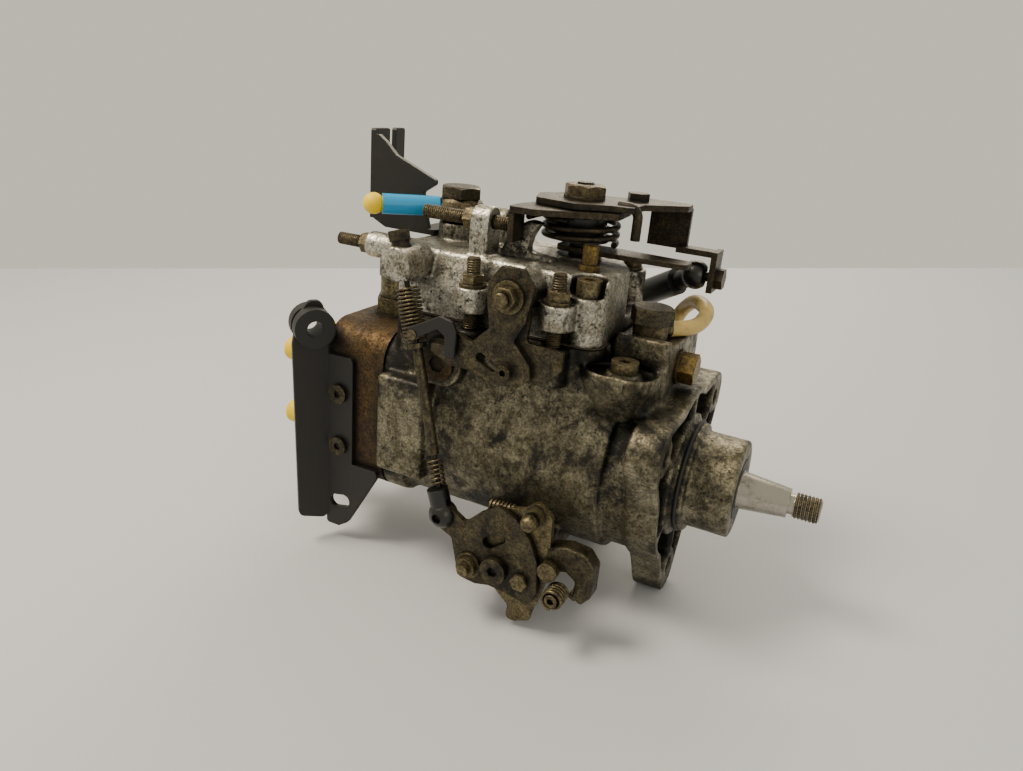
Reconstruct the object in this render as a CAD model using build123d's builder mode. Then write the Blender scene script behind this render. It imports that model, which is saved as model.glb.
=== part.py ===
"""Distributor-type diesel injection pump, in millimetres.

The drive shaft lies along X and its taper points to +X.  The origin is on the shaft's axis, in the
mounting face of the flange.  +Z points to the governor cover and -Y to the side that carries the
control levers, called the near side here; the other side is the far side.
"""

from build123d import *
from math import atan2, cos, pi, radians, sin, tan
import os

os.makedirs("parts", exist_ok=True)

# ---------------------------------------------------------------- fits and fasteners
RUN = 0.03            # radial clearance of a running fit
SEAT = 0.05           # radial clearance of a screw or plug in its hole
GAP = 0.3             # clearance between pieces that pass each other
M5, M6, M8, M10, M12, M14 = 2.5, 3.0, 4.0, 5.0, 6.0, 7.0     # thread radii

# ---------------------------------------------------------------- housing
FLANGE_THICK = 16.0
FLANGE_LOBES = (30.0, 150.0, 270.0)       # degrees from +Y towards +Z
LOBE_PITCH = 55.0                         # shaft axis to the centre of a lobe
LOBE_RADIUS = 14.5
FLANGE_RIM = 4.5
FLANGE_DISC = 47.0
POCKET_DEPTH = 9.0
MOUNT_HOLE = 4.5
MOUNT_BOSS = 9.5
PILOT_RADIUS = 28.5
PILOT_LENGTH = 6.5
NOSE_RADIUS = 25.0
NOSE_LENGTH = 22.0
NOSE_END = PILOT_LENGTH + NOSE_LENGTH
BARREL_RADIUS = 48.0
NECK_START, BARREL_NECK = -30.0, 44.5     # the barrel narrows behind the flange
REAR_FACE = -160.0                        # face that carries the distributor head
REAR_PAD = 14.0
HEAD_WIDTH = 84.0
HEAD_HEIGHT = 94.0
HEAD_RISE = 4.0                           # head centre above the shaft axis
HEAD_CORNER = 18.0
DECK_FRONT, DECK_REAR = -42.0, -157.0
DECK_HALF_WIDTH = 40.0
DECK_CORNER = 9.0
GASKET_THICK = 0.8
COVER_BASE = 68.0                         # underside of the governor cover
DECK_TOP = COVER_BASE - GASKET_THICK
CHAMBER_HALF_WIDTH = 26.0

# ---------------------------------------------------------------- shaft and pump
JOURNAL_RADIUS = 10.0
TAPER_START_RADIUS = 9.75
TAPER_LENGTH = 24.0
TAPER_RATIO = 5.0                         # length over change of diameter
NECK_RADIUS = 5.2
NECK_LENGTH = 2.5
THREAD_LENGTH = 12.5
BUSH_RADIUS = 12.5
SEAL_RADIUS = 15.0
SEAL_WIDTH = 7.5
RECESS_RADIUS = 33.0                      # bore that holds the vane pump and the drive gear
VANE_FACE = -22.0
VANE_WIDTH = 16.0
VANE_PLATE = 5.0
VANE_ROTOR_RADIUS = 20.0
VANE_COUNT = 4
VANE_THICK = 3.0
RING_BORE_RADIUS = 24.0
RING_OFFSET = 1.9
GEAR_MODULE = 1.5
GEAR_FRONT, GEAR_REAR = -46.0, -54.0
DRIVE_TEETH, GOVERNOR_TEETH = 40, 20
GOVERNOR_RISE = GEAR_MODULE * (DRIVE_TEETH + GOVERNOR_TEETH) / 2
ROLLER_BORE = 25.0
ROLLER_FRONT, ROLLER_REAR = -62.0, -79.0
ROLLER_BORE_REAR = -82.0
ROLLER_RADIUS = 5.5
ROLLER_PITCH = 19.0
REAR_CHAMBER = 32.0
CAM_FRONT, CAM_REAR = -81.4, -92.0
LOBE_LIFT = 2.6
CLAW_RADIUS = 12.0
PLUNGER_RADIUS = 5.5
PLUNGER_END = -188.0
HEAD_THICK = 38.0
HEAD_FACE = REAR_FACE - HEAD_THICK
HEAD_BOSS = 5.0
VALVE_CIRCLE = 29.0
TIMING_X, TIMING_Z = -71.0, -46.0
TIMING_BORE = 11.0
TIMING_WALL = 6.0
TIMING_HALF_LENGTH = 46.0
TIMING_PISTON_LENGTH = 44.0

# ---------------------------------------------------------------- cover
COVER_TOP = 100.0
COVER_WALL = 5.0
SKIRT_HEIGHT = 14.0
STUD_XS = (-107.0, -62.0)
STUD_Y = -45.0
EAR_RADIUS = 8.5
EAR_FLOOR, EAR_TOP = 76.0, 88.0
THROTTLE_X, THROTTLE_Y = -74.0, 5.0
THROTTLE_RADIUS = 5.0
TOWER_TOP = 102.0
RETURN_X, RETURN_Y = -142.0, 0.0
RETURN_BOSS_TOP = 109.0
INLET_X, INLET_Y = -27.0, -8.0
BLOCK_TOP = 70.0
POST_X, POST_Y = -113.0, -25.0
POST_WIDTH, POST_DEPTH = 10.5, 14.0
IDLE_Z = 116.5
FULL_LOAD_Y, FULL_LOAD_Z = -20.0, 93.0
CABLE_X, CABLE_Y = -143.0, -51.5

# ---------------------------------------------------------------- levers
LEVER_PIVOT = (-80.0, 90.5)               # X and Z of the idle lever's pivot
LEVER_FACE = -55.5
LEVER_THICK = 3.0
COLD_PIVOT = (-71.0, -46.0)               # X and Z of the cold-start lever's pivot
COLD_FACE = -62.0
COLD_THICK = 3.0


BRACKET_FRONT = COLD_FACE - COLD_THICK
COLD_LEVER_BACK = BRACKET_FRONT - GAP
COLD_LEVER_FRONT = COLD_LEVER_BACK - COLD_THICK
CLEVIS_PIN = (-103.5, -26.0)              # X and Z of the clevis pin
CLEVIS_Y = (COLD_LEVER_BACK + COLD_LEVER_FRONT) / 2
CABLE_TOP = (CABLE_X, CABLE_Y, 96.0)      # where the control rod's line leaves the cable boss
rod_foot = Vector(CLEVIS_PIN[0], CLEVIS_Y, CLEVIS_PIN[1])
rod_way = Vector(*CABLE_TOP) - rod_foot
rod_line = Plane(origin=rod_foot, z_dir=rod_way)


# ---------------------------------------------------------------- planes
def front(x, y=0.0, z=0.0):
    """Plane facing +X: its own x is +Y and its own y is +Z."""
    return Plane(origin=(x, y, z), x_dir=(0, 1, 0), z_dir=(1, 0, 0))


def rear(x, y=0.0, z=0.0):
    """Plane facing -X: its own x is -Y and its own y is +Z."""
    return Plane(origin=(x, y, z), x_dir=(0, -1, 0), z_dir=(-1, 0, 0))


def near(y, x=0.0, z=0.0):
    """Plane facing -Y: its own x is +X and its own y is +Z."""
    return Plane(origin=(x, y, z), x_dir=(1, 0, 0), z_dir=(0, -1, 0))


def far(y, x=0.0, z=0.0):
    """Plane facing +Y: its own x is -X and its own y is +Z."""
    return Plane(origin=(x, y, z), x_dir=(-1, 0, 0), z_dir=(0, 1, 0))


def up(z, x=0.0, y=0.0):
    """Plane facing +Z: its own x is +X and its own y is +Y."""
    return Plane(origin=(x, y, z), x_dir=(1, 0, 0), z_dir=(0, 0, 1))


# ---------------------------------------------------------------- features of the part being built
def rod(plane, radius, length, mode=Mode.ADD):
    """Round bar, or round hole, that stands on a plane."""
    with BuildSketch(plane) as section:
        Circle(radius)
    extrude(section.sketch, amount=length, mode=mode)


def hexagon(plane, across_flats, length, mode=Mode.ADD):
    """Six-sided bar, or six-sided socket, that stands on a plane."""
    with BuildSketch(plane) as section:
        RegularPolygon(across_flats / 2, 6, major_radius=False)
    extrude(section.sketch, amount=length, mode=mode)


def crown(plane, across_flats):
    """Chamfer that rounds the corners of a hexagon's top; the plane is that top, facing out."""
    inner, outer = 0.47 * across_flats, 0.7 * across_flats
    side = Plane(origin=plane.origin, x_dir=plane.x_dir, z_dir=-plane.y_dir)
    with BuildSketch(side) as section:
        with BuildLine():
            Polyline((inner, 0), (outer, 0), (outer, -(outer - inner) * 0.5), close=True)
        make_face()
    revolve(section.sketch, axis=Axis(plane.origin, plane.z_dir), mode=Mode.SUBTRACT)


def block(x, y, z, mode=Mode.ADD):
    """Box between two X, two Y and two Z values."""
    with Locations(((x[0] + x[1]) / 2, (y[0] + y[1]) / 2, (z[0] + z[1]) / 2)):
        Box(abs(x[1] - x[0]), abs(y[1] - y[0]), abs(z[1] - z[0]), mode=mode)


def shoulder(plane, *steps):
    """Stack of round steps, each a radius and a length, that stands on a plane."""
    height = 0.0
    for radius, length in steps:
        rod(plane.offset(height), radius, length)
        height += length


def socket_screw(plane, thread, head, head_height, shank, key):
    """Cap screw with a hexagon socket; the plane is under its head and faces out of it."""
    rod(plane, head, head_height)
    rod(plane, thread, -shank)
    hexagon(plane.offset(head_height * 0.4), key, head_height, mode=Mode.SUBTRACT)


def hex_bolt(plane, thread, across_flats, head_height, shank, washer=0.0):
    """Hexagon bolt, with a washer of the given thickness; the plane is under its head."""
    if washer:
        rod(plane, across_flats * 0.62, washer)
    hexagon(plane.offset(washer), across_flats, head_height)
    crown(plane.offset(washer + head_height), across_flats)
    rod(plane, thread, -shank)


def plate(plane, outline, thick, corner):
    """Flat plate from a closed outline of points in the plane, its corners rounded."""
    with BuildSketch(plane) as section:
        with BuildLine():
            FilletPolyline(*outline, radius=corner, close=True)
        make_face()
    extrude(section.sketch, amount=thick)


def coil(start, end, radius, wire, turns):
    """Open coil spring round the line from start to end, its wire inside that length."""
    along = Vector(*end) - Vector(*start)
    pitch = (along.length - wire) / turns
    base = Plane(origin=Vector(*start) + along.normalized() * wire / 2, z_dir=along)
    with BuildLine(base) as helix:
        Helix(pitch=pitch, height=pitch * turns, radius=radius, direction=along)
    with BuildSketch(Plane(origin=helix.line @ 0, z_dir=helix.line % 0)) as section:
        Circle(wire / 2)
    sweep(section.sketch, path=helix.line, is_frenet=True)


def gear_teeth(plane, teeth, first_angle, width):
    """Ring of straight-sided teeth of the gear module, with backlash, on a plane."""
    pitch_radius = GEAR_MODULE * teeth / 2
    root, tip = pitch_radius - 1.25 * GEAR_MODULE, pitch_radius + 0.8 * GEAR_MODULE
    root_half, tip_half = 0.30 * pi * GEAR_MODULE, 0.12 * pi * GEAR_MODULE
    with BuildSketch(plane) as section:
        Circle(root)
        with BuildSketch(mode=Mode.PRIVATE) as tooth:
            with BuildLine():
                Polyline((root - 0.5, -root_half), (tip, -tip_half), (tip, tip_half),
                         (root - 0.5, root_half), close=True)
            make_face()
        with PolarLocations(0, teeth, start_angle=first_angle):
            add(tooth.sketch)
    extrude(section.sketch, amount=width)


def turned(plane, *steps, mode=Mode.ADD):
    """Body of revolution about a plane's own x: circles and bars, each a start, a length and a radius."""
    with BuildSketch(plane) as profile:
        for start, length, radius in steps:
            if length:
                with Locations((start + length / 2, 0)):
                    Rectangle(length, 2 * radius)
            else:
                with Locations((start, 0)):
                    Circle(radius)
        with Locations((0, -500)):
            Rectangle(1000, 1000, mode=Mode.SUBTRACT)
    revolve(profile.sketch, axis=Axis(plane.origin, plane.x_dir), mode=mode)


def save(builder, name):
    """Label a finished piece and write its STEP file."""
    builder.part.label = name
    export_step(builder.part, f"parts/{name}.step")


# ================================================================ casing
lobe_spots = [(LOBE_PITCH * cos(radians(a)), LOBE_PITCH * sin(radians(a))) for a in FLANGE_LOBES]
head_bolt_spots = [(side * (HEAD_WIDTH / 2 - 9), HEAD_RISE + rise * (HEAD_HEIGHT / 2 - 9))
                   for side in (-1, 1) for rise in (-1, 1)]
valve_spots = [(VALVE_CIRCLE * cos(radians(a)), VALVE_CIRCLE * sin(radians(a)))
               for a in (45, 135, 225, 315)]
cover_screw_spots = [(-52.0, -33.0), (-53.0, 30.5), (-149.0, 31.0)]
cover_screw_seats = [91.0, 94.0, COVER_TOP]
timing_screw_spots = [(TIMING_X + dx, TIMING_Z + dz) for dx, dz in ((-15, -8), (15, 8), (15, -8))]
EAR_SCREW = (-29.0, -36.0)
EAR_SCREW_TOP = 60.0
PORT = (-122.0, 46.0)
PORT_FACE = -48.3
FRONT_PLUG = (-2.0, 57.0)
FRONT_NIPPLE = (-30.0, 57.0)              # X and Z of the hose nipple on the far side
BLOCK_FRONT = -12.0
CHANNEL_RADIUS = 18.3
GOVERNOR_PIN = 4.0
LEVER_AXLE = (-110.0, 24.0)
AXLE_RADIUS = 3.0

with BuildPart() as pump_housing:
    # flange: three lobes round a disc, with a rim, hole bosses and ribs in front
    with BuildSketch(front(-FLANGE_THICK)):
        with Locations(*lobe_spots):
            Circle(LOBE_RADIUS)
        make_hull()
        Circle(FLANGE_DISC)
    extrude(amount=FLANGE_THICK)
    # barrel, rear pad and deck
    rod(front(REAR_FACE), BARREL_RADIUS, NECK_START - REAR_FACE)
    rod(front(NECK_START), BARREL_NECK, -NECK_START - FLANGE_THICK)
    with BuildSketch(front(REAR_FACE, 0, HEAD_RISE)):
        RectangleRounded(HEAD_WIDTH, HEAD_HEIGHT, HEAD_CORNER)
    extrude(amount=REAR_PAD)
    with BuildSketch(up(0, (DECK_FRONT + DECK_REAR) / 2)):
        RectangleRounded(DECK_FRONT - DECK_REAR, 2 * DECK_HALF_WIDTH, DECK_CORNER)
    extrude(amount=DECK_TOP)
    # pilot and nose
    rod(front(0), PILOT_RADIUS, PILOT_LENGTH)
    rod(front(PILOT_LENGTH), NOSE_RADIUS, NOSE_LENGTH)
    # inlet block, ear, stud bosses
    block((DECK_FRONT - 4, BLOCK_FRONT), (-24, 34), (20, DECK_TOP))
    block((DECK_FRONT + GAP, BLOCK_FRONT), (-24, 34), (20, BLOCK_TOP))
    block((DECK_FRONT + 3, BLOCK_FRONT), (-25.5, -20), (60, BLOCK_TOP + 4))
    with BuildSketch(up(EAR_SCREW_TOP - 6, EAR_SCREW[0] - 2, EAR_SCREW[1] + 2)) as ledge:
        SlotOverall(38, 28)
    extrude(amount=6)
    extrude(ledge.sketch, amount=-20, taper=30)
    for x in STUD_XS:
        rod(up(48, x, STUD_Y), 7.5, DECK_TOP - 48)
    # pads on the near side: rear block, port boss
    block((DECK_REAR, -128), (-52, -20), (-22, 33))
    rod(near(-30, *PORT), 13, -PORT_FACE - 30)
    # timing cylinder across the bottom, with a square pad at each end
    rod(far(-TIMING_HALF_LENGTH, TIMING_X, TIMING_Z), TIMING_BORE + TIMING_WALL, 2 * TIMING_HALF_LENGTH)
    for ends in ((-TIMING_HALF_LENGTH, 9 - TIMING_HALF_LENGTH), (TIMING_HALF_LENGTH - 9, TIMING_HALF_LENGTH)):
        block((TIMING_X - 20, TIMING_X + 20), ends, (TIMING_Z - 16, TIMING_Z + 16))
    # mounting holes and pockets
    with BuildSketch(front(-FLANGE_THICK)):
        with Locations(*lobe_spots):
            Circle(MOUNT_HOLE)
    extrude(amount=FLANGE_THICK, mode=Mode.SUBTRACT)
    with BuildSketch(front(0)):
        with Locations(*lobe_spots):
            Circle(LOBE_RADIUS)
        make_hull()
        Circle(FLANGE_DISC)
        offset(amount=-FLANGE_RIM, mode=Mode.REPLACE)
        Circle(PILOT_RADIUS + 4, mode=Mode.SUBTRACT)
        with Locations(*lobe_spots):
            Circle(MOUNT_BOSS, mode=Mode.SUBTRACT)
        with PolarLocations(PILOT_RADIUS + 15, 6, start_angle=FLANGE_LOBES[0]):
            Rectangle(34, 4, mode=Mode.SUBTRACT)
    extrude(amount=-POCKET_DEPTH, mode=Mode.SUBTRACT)
    # seal ring groove in the pilot
    with BuildSketch(Plane.XY):
        with Locations((PILOT_LENGTH / 2, PILOT_RADIUS)):
            Rectangle(2.6, 3.6)
    revolve(axis=Axis.X, mode=Mode.SUBTRACT)
    # bores along the shaft
    rod(front(NOSE_END), SEAL_RADIUS + SEAT, -SEAL_WIDTH - 0.5, mode=Mode.SUBTRACT)
    rod(front(NOSE_END), BUSH_RADIUS + SEAT, VANE_FACE - NOSE_END - 1, mode=Mode.SUBTRACT)
    rod(rear(VANE_FACE), RECESS_RADIUS + SEAT, 34, mode=Mode.SUBTRACT)
    rod(rear(VANE_FACE), ROLLER_BORE + RUN, VANE_FACE - ROLLER_BORE_REAR, mode=Mode.SUBTRACT)
    rod(rear(ROLLER_BORE_REAR), REAR_CHAMBER, ROLLER_BORE_REAR - REAR_FACE, mode=Mode.SUBTRACT)
    # governor channel and chamber, and the pin hole in the front wall
    rod(rear(GEAR_FRONT + 2, 0, GOVERNOR_RISE), CHANNEL_RADIUS, 60, mode=Mode.SUBTRACT)
    block((GEAR_FRONT + 2 - 60, GEAR_FRONT + 2), (-CHAMBER_HALF_WIDTH, CHAMBER_HALF_WIDTH),
          (GOVERNOR_RISE, DECK_TOP), mode=Mode.SUBTRACT)
    block((-150, -100), (-24, 24), (0, DECK_TOP), mode=Mode.SUBTRACT)
    rod(front(GEAR_FRONT + 2, 0, GOVERNOR_RISE), GOVERNOR_PIN + SEAT, 7, mode=Mode.SUBTRACT)
    # lugs that carry the governor lever's axle
    for ys in ((-26, -14), (14, 26)):
        block((LEVER_AXLE[0] - 7, LEVER_AXLE[0] + 7), ys, (LEVER_AXLE[1] - 7, LEVER_AXLE[1] + 7))
    rod(far(-19, *LEVER_AXLE), AXLE_RADIUS + RUN, 38, mode=Mode.SUBTRACT)
    # timing bore, and the window for the pin of the roller ring
    rod(far(-TIMING_HALF_LENGTH, TIMING_X, TIMING_Z), TIMING_BORE + RUN, 2 * TIMING_HALF_LENGTH,
        mode=Mode.SUBTRACT)
    block((TIMING_X - 5, TIMING_X + 5), (-13, 13), (TIMING_Z, -20), mode=Mode.SUBTRACT)
    # fuel inlet, ear groove, port, plug and screw holes
    rod(up(BLOCK_TOP, INLET_X, INLET_Y), M12 + SEAT, -20, mode=Mode.SUBTRACT)
    with BuildSketch(up(EAR_SCREW_TOP, EAR_SCREW[0] - 2, EAR_SCREW[1] + 2)):
        SlotOverall(34, 24)
        with Locations((2, -2)):
            Circle(8.5, mode=Mode.SUBTRACT)
    extrude(amount=-3, mode=Mode.SUBTRACT)
    rod(up(EAR_SCREW_TOP, *EAR_SCREW), M6 + SEAT, -14, mode=Mode.SUBTRACT)
    rod(near(PORT_FACE, *PORT), M10 + SEAT, -8, mode=Mode.SUBTRACT)
    rod(front(BLOCK_FRONT, *FRONT_PLUG), M12 + SEAT, -16, mode=Mode.SUBTRACT)
    for x in STUD_XS:
        rod(up(DECK_TOP, x, STUD_Y), M6 + SEAT, -16, mode=Mode.SUBTRACT)
    for x, y in cover_screw_spots:
        rod(up(DECK_TOP, x, y), M6 + SEAT, -16, mode=Mode.SUBTRACT)
    for y, z in head_bolt_spots:
        rod(front(REAR_FACE, y, z), M6 + SEAT, REAR_PAD - 2, mode=Mode.SUBTRACT)
    for x, z in timing_screw_spots:
        rod(near(-TIMING_HALF_LENGTH, x, z), M5 + SEAT, -8, mode=Mode.SUBTRACT)
        rod(far(TIMING_HALF_LENGTH, x, z), M5 + SEAT, -8, mode=Mode.SUBTRACT)
save(pump_housing, "pump_housing")

COVER_LENGTH = DECK_FRONT - DECK_REAR
COVER_MIDDLE = (DECK_FRONT + DECK_REAR) / 2
SHOULDER_IN = 6.0                         # how far the cover's sides lean in above the skirt
POST_TOP = 124.0
SECOND_STOP = (-121.0, 8.0, 113.0)
FULL_LOAD_BOSS_END = -185.0
CABLE_BOSS_TOP = 103.0
ADJUSTER_RADIUS, ADJUSTER_BORE = 4.5, 2.3

with BuildPart() as governor_cover:
    # box with leaning sides, hollow underneath
    with BuildSketch(front(DECK_REAR)):
        with BuildLine():
            Polyline((-DECK_HALF_WIDTH, COVER_BASE), (-DECK_HALF_WIDTH, COVER_BASE + SKIRT_HEIGHT),
                     (SHOULDER_IN - DECK_HALF_WIDTH, COVER_TOP), (DECK_HALF_WIDTH - SHOULDER_IN, COVER_TOP),
                     (DECK_HALF_WIDTH, COVER_BASE + SKIRT_HEIGHT), (DECK_HALF_WIDTH, COVER_BASE), close=True)
        make_face()
    extrude(amount=COVER_LENGTH)
    with BuildSketch(up(COVER_BASE, COVER_MIDDLE)):
        RectangleRounded(COVER_LENGTH, 2 * DECK_HALF_WIDTH, DECK_CORNER)
    extrude(amount=COVER_TOP - COVER_BASE, mode=Mode.INTERSECT)
    fillet(governor_cover.edges().filter_by(Axis.X).group_by(Axis.Z)[-1], 3)
    with BuildSketch(up(COVER_BASE, COVER_MIDDLE)):
        RectangleRounded(COVER_LENGTH - 2 * COVER_WALL, 2 * DECK_HALF_WIDTH - 4 * COVER_WALL, DECK_CORNER)
    extrude(amount=COVER_TOP - COVER_BASE - COVER_WALL, mode=Mode.SUBTRACT)
    # far front corner, solid inside and cut away above the skirt
    block((-65, DECK_FRONT - 1), (-8, DECK_HALF_WIDTH - 2 * COVER_WALL),
          (EAR_FLOOR - COVER_WALL, COVER_TOP - 1))
    with BuildSketch(up(EAR_FLOOR)):
        with BuildLine():
            Polyline((DECK_FRONT + 5, -4), (DECK_FRONT, -4), (-60, 30), (-66, 45), (DECK_FRONT + 5, 45),
                     close=True)
        make_face()
    extrude(amount=30, mode=Mode.SUBTRACT)
    # ears for the studs, columns for the screws
    for x in STUD_XS:
        rod(up(EAR_FLOOR, x, STUD_Y), EAR_RADIUS, EAR_TOP - EAR_FLOOR)
        block((x - EAR_RADIUS, x + EAR_RADIUS), (STUD_Y, -DECK_HALF_WIDTH + 5), (EAR_FLOOR, EAR_TOP))
    for (x, y), seat in zip(cover_screw_spots, cover_screw_seats):
        rod(up(COVER_BASE, x, y), EAR_RADIUS, seat - COVER_BASE)
        rod(up(seat, x, y), EAR_RADIUS + 0.1, COVER_TOP - seat + 1, mode=Mode.SUBTRACT)
    # tower of the throttle shaft, boss of the return union, boss of the idle lever's pivot
    rod(up(COVER_TOP - COVER_WALL, THROTTLE_X, THROTTLE_Y), 12, TOWER_TOP - COVER_TOP + COVER_WALL)
    rod(up(COVER_TOP - COVER_WALL, RETURN_X, RETURN_Y), 11, RETURN_BOSS_TOP - COVER_TOP + COVER_WALL)
    rod(near(-30, *LEVER_PIVOT), 9, 22)
    # post of the idle stop, rounded over its screw, and the stop behind it
    block((POST_X - POST_WIDTH / 2, POST_X + POST_WIDTH / 2),
          (POST_Y - POST_DEPTH / 2, POST_Y + POST_DEPTH / 2),
          (COVER_TOP - COVER_WALL, POST_TOP - POST_DEPTH / 2))
    rod(front(POST_X - POST_WIDTH / 2, POST_Y, POST_TOP - POST_DEPTH / 2), POST_DEPTH / 2, POST_WIDTH)
    block((SECOND_STOP[0] - 5, SECOND_STOP[0] + 5), (SECOND_STOP[1] - 5.5, SECOND_STOP[1] + 5.5),
          (COVER_TOP - COVER_WALL, SECOND_STOP[2]))
    rod(front(SECOND_STOP[0] - 5, SECOND_STOP[1], SECOND_STOP[2]), 5.5, 10)
    # horn that anchors the return spring: a quarter ring that stands on the cover
    with BuildSketch(near(-12)):
        with BuildLine():
            Line((-106, COVER_TOP - 1), (-78, COVER_TOP - 1))
            Line((-78, COVER_TOP - 1), (-78, COVER_TOP + 2))
            Line((-78, COVER_TOP + 2), (-92, COVER_TOP + 3.5))
            RadiusArc((-92, COVER_TOP + 3.5), (-86, 118), 26)
            Line((-86, 118), (-92, 119))
            RadiusArc((-92, 119), (-106, COVER_TOP + 3), -24)
            Line((-106, COVER_TOP + 3), (-106, COVER_TOP - 1))
        make_face()
    extrude(amount=7)
    # full-load boss behind, cable boss on the rear corner
    rod(rear(DECK_REAR + 7, FULL_LOAD_Y, FULL_LOAD_Z), 7, DECK_REAR + 7 - FULL_LOAD_BOSS_END)
    with BuildSketch(near(-DECK_HALF_WIDTH + 4)):
        with Locations((CABLE_X, CABLE_BOSS_TOP - 8.5)):
            Circle(8.5)
        with Locations((CABLE_X, CABLE_BOSS_TOP - 12)):
            Rectangle(17, 7)
    extrude(amount=-CABLE_Y - DECK_HALF_WIDTH + 12)
    # holes
    rod(up(TOWER_TOP, THROTTLE_X, THROTTLE_Y), THROTTLE_RADIUS + RUN, -12, mode=Mode.SUBTRACT)
    rod(up(RETURN_BOSS_TOP, RETURN_X, RETURN_Y), M12 + SEAT, -20, mode=Mode.SUBTRACT)
    rod(near(-52, *LEVER_PIVOT), M8 + RUN, -18, mode=Mode.SUBTRACT)
    rod(front(POST_X - 20, POST_Y, IDLE_Z), M6 + SEAT, 40, mode=Mode.SUBTRACT)
    rod(front(SECOND_STOP[0] - 20, SECOND_STOP[1], SECOND_STOP[2]), M6 + SEAT, 40, mode=Mode.SUBTRACT)
    rod(rear(DECK_REAR + 10, FULL_LOAD_Y, FULL_LOAD_Z), M6 + SEAT, 50, mode=Mode.SUBTRACT)
    rod(up(COVER_TOP, -58, -20), M6 + SEAT, -6, mode=Mode.SUBTRACT)
    rod(rod_line.offset(rod_way.length * 0.85), ADJUSTER_RADIUS + SEAT, 40, mode=Mode.SUBTRACT)
    for x in STUD_XS:
        rod(up(EAR_TOP, x, STUD_Y), M6 + SEAT, -EAR_TOP + EAR_FLOOR, mode=Mode.SUBTRACT)
    for (x, y), seat in zip(cover_screw_spots, cover_screw_seats):
        rod(up(seat, x, y), M6 + SEAT, COVER_BASE - seat, mode=Mode.SUBTRACT)
save(governor_cover, "governor_cover")

with BuildPart() as cover_gasket:
    with BuildSketch(up(DECK_TOP)):
        with Locations((COVER_MIDDLE, 0)):
            RectangleRounded(COVER_LENGTH, 2 * DECK_HALF_WIDTH, DECK_CORNER)
            RectangleRounded(COVER_LENGTH - 2 * COVER_WALL, 2 * CHAMBER_HALF_WIDTH, DECK_CORNER,
                             mode=Mode.SUBTRACT)
        with Locations(*cover_screw_spots):
            Circle(M6 + SEAT, mode=Mode.SUBTRACT)
    extrude(amount=GASKET_THICK)
save(cover_gasket, "cover_gasket")

# ================================================================ distributor head
CLAMP_Y, CLAMP_ZS = -42.0, (-20.0, 12.0)      # screws of the rear bracket in the head's near side
SOLENOID_X = -179.0

with BuildPart() as distributor_head:
    with BuildSketch(front(HEAD_FACE, 0, HEAD_RISE)):
        RectangleRounded(HEAD_WIDTH, HEAD_HEIGHT, HEAD_CORNER)
    extrude(amount=HEAD_THICK)
    rod(rear(HEAD_FACE), VALVE_CIRCLE + 9, HEAD_BOSS)
    rod(front(REAR_FACE), REAR_CHAMBER - SEAT, 10)
    rod(up(45, SOLENOID_X), 14, HEAD_RISE + HEAD_HEIGHT / 2 + 1 - 45)
    chamfer(distributor_head.faces().sort_by(Axis.X)[0].edges(), 1)
    rod(front(REAR_FACE + 10), PLUNGER_RADIUS + RUN, -HEAD_THICK - HEAD_BOSS - 10, mode=Mode.SUBTRACT)
    rod(rear(HEAD_FACE - HEAD_BOSS), M14 + SEAT, -12, mode=Mode.SUBTRACT)
    for y, z in valve_spots:
        rod(front(HEAD_FACE - HEAD_BOSS, y, z), M14 + SEAT, 18, mode=Mode.SUBTRACT)
    for y, z in head_bolt_spots:
        rod(front(HEAD_FACE, y, z), M6 + SEAT, HEAD_THICK, mode=Mode.SUBTRACT)
    rod(up(HEAD_RISE + HEAD_HEIGHT / 2 + 1, SOLENOID_X), M12 + SEAT, -16, mode=Mode.SUBTRACT)
    for z in CLAMP_ZS:
        rod(near(CLAMP_Y, HEAD_FACE + 11, z), M6 + SEAT, -12, mode=Mode.SUBTRACT)
save(distributor_head, "distributor_head")

with BuildPart() as head_bolts:
    for y, z in head_bolt_spots:
        socket_screw(rear(HEAD_FACE, y, z), M6, M10, 6, HEAD_THICK + REAR_PAD - 4, 5)
save(head_bolts, "head_bolts")

VALVE_END = HEAD_FACE - HEAD_BOSS - 30
with BuildPart() as delivery_valve_holders:
    for y, z in valve_spots:
        base = rear(HEAD_FACE - HEAD_BOSS, y, z)
        rod(base, M14, -16)
        hexagon(base, 17, 12)
        rod(base.offset(12), M12, HEAD_FACE - HEAD_BOSS - 12 - VALVE_END)
        rod(base.offset(-16), 1.5, 50, mode=Mode.SUBTRACT)
save(delivery_valve_holders, "delivery_valve_holders")

with BuildPart() as steel_plugs:
    rod(rear(HEAD_FACE - HEAD_BOSS), M14, -9)
    hexagon(rear(HEAD_FACE - HEAD_BOSS), 22, 7)
    socket_screw(near(PORT_FACE, *PORT), M10, 9, 2, 7, 8)
save(steel_plugs, "steel_plugs")

with BuildPart() as shut_off_solenoid:
    base = up(HEAD_RISE + HEAD_HEIGHT / 2 + 1, SOLENOID_X)
    rod(base, M12, -14)
    hexagon(base, 24, 9)
    shoulder(base.offset(9), (11, 12), (4, 2), (2.5, 6))
save(shut_off_solenoid, "shut_off_solenoid")

# ================================================================ drive side
def taper_radius(x):
    """Radius of the shaft's taper at a distance from the nose."""
    return TAPER_START_RADIUS - (x - NOSE_END) / TAPER_RATIO / 2


TAPER_END = NOSE_END + TAPER_LENGTH
SHAFT_TIP = TAPER_END + NECK_LENGTH + THREAD_LENGTH
SHAFT_REAR = -66.0

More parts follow.
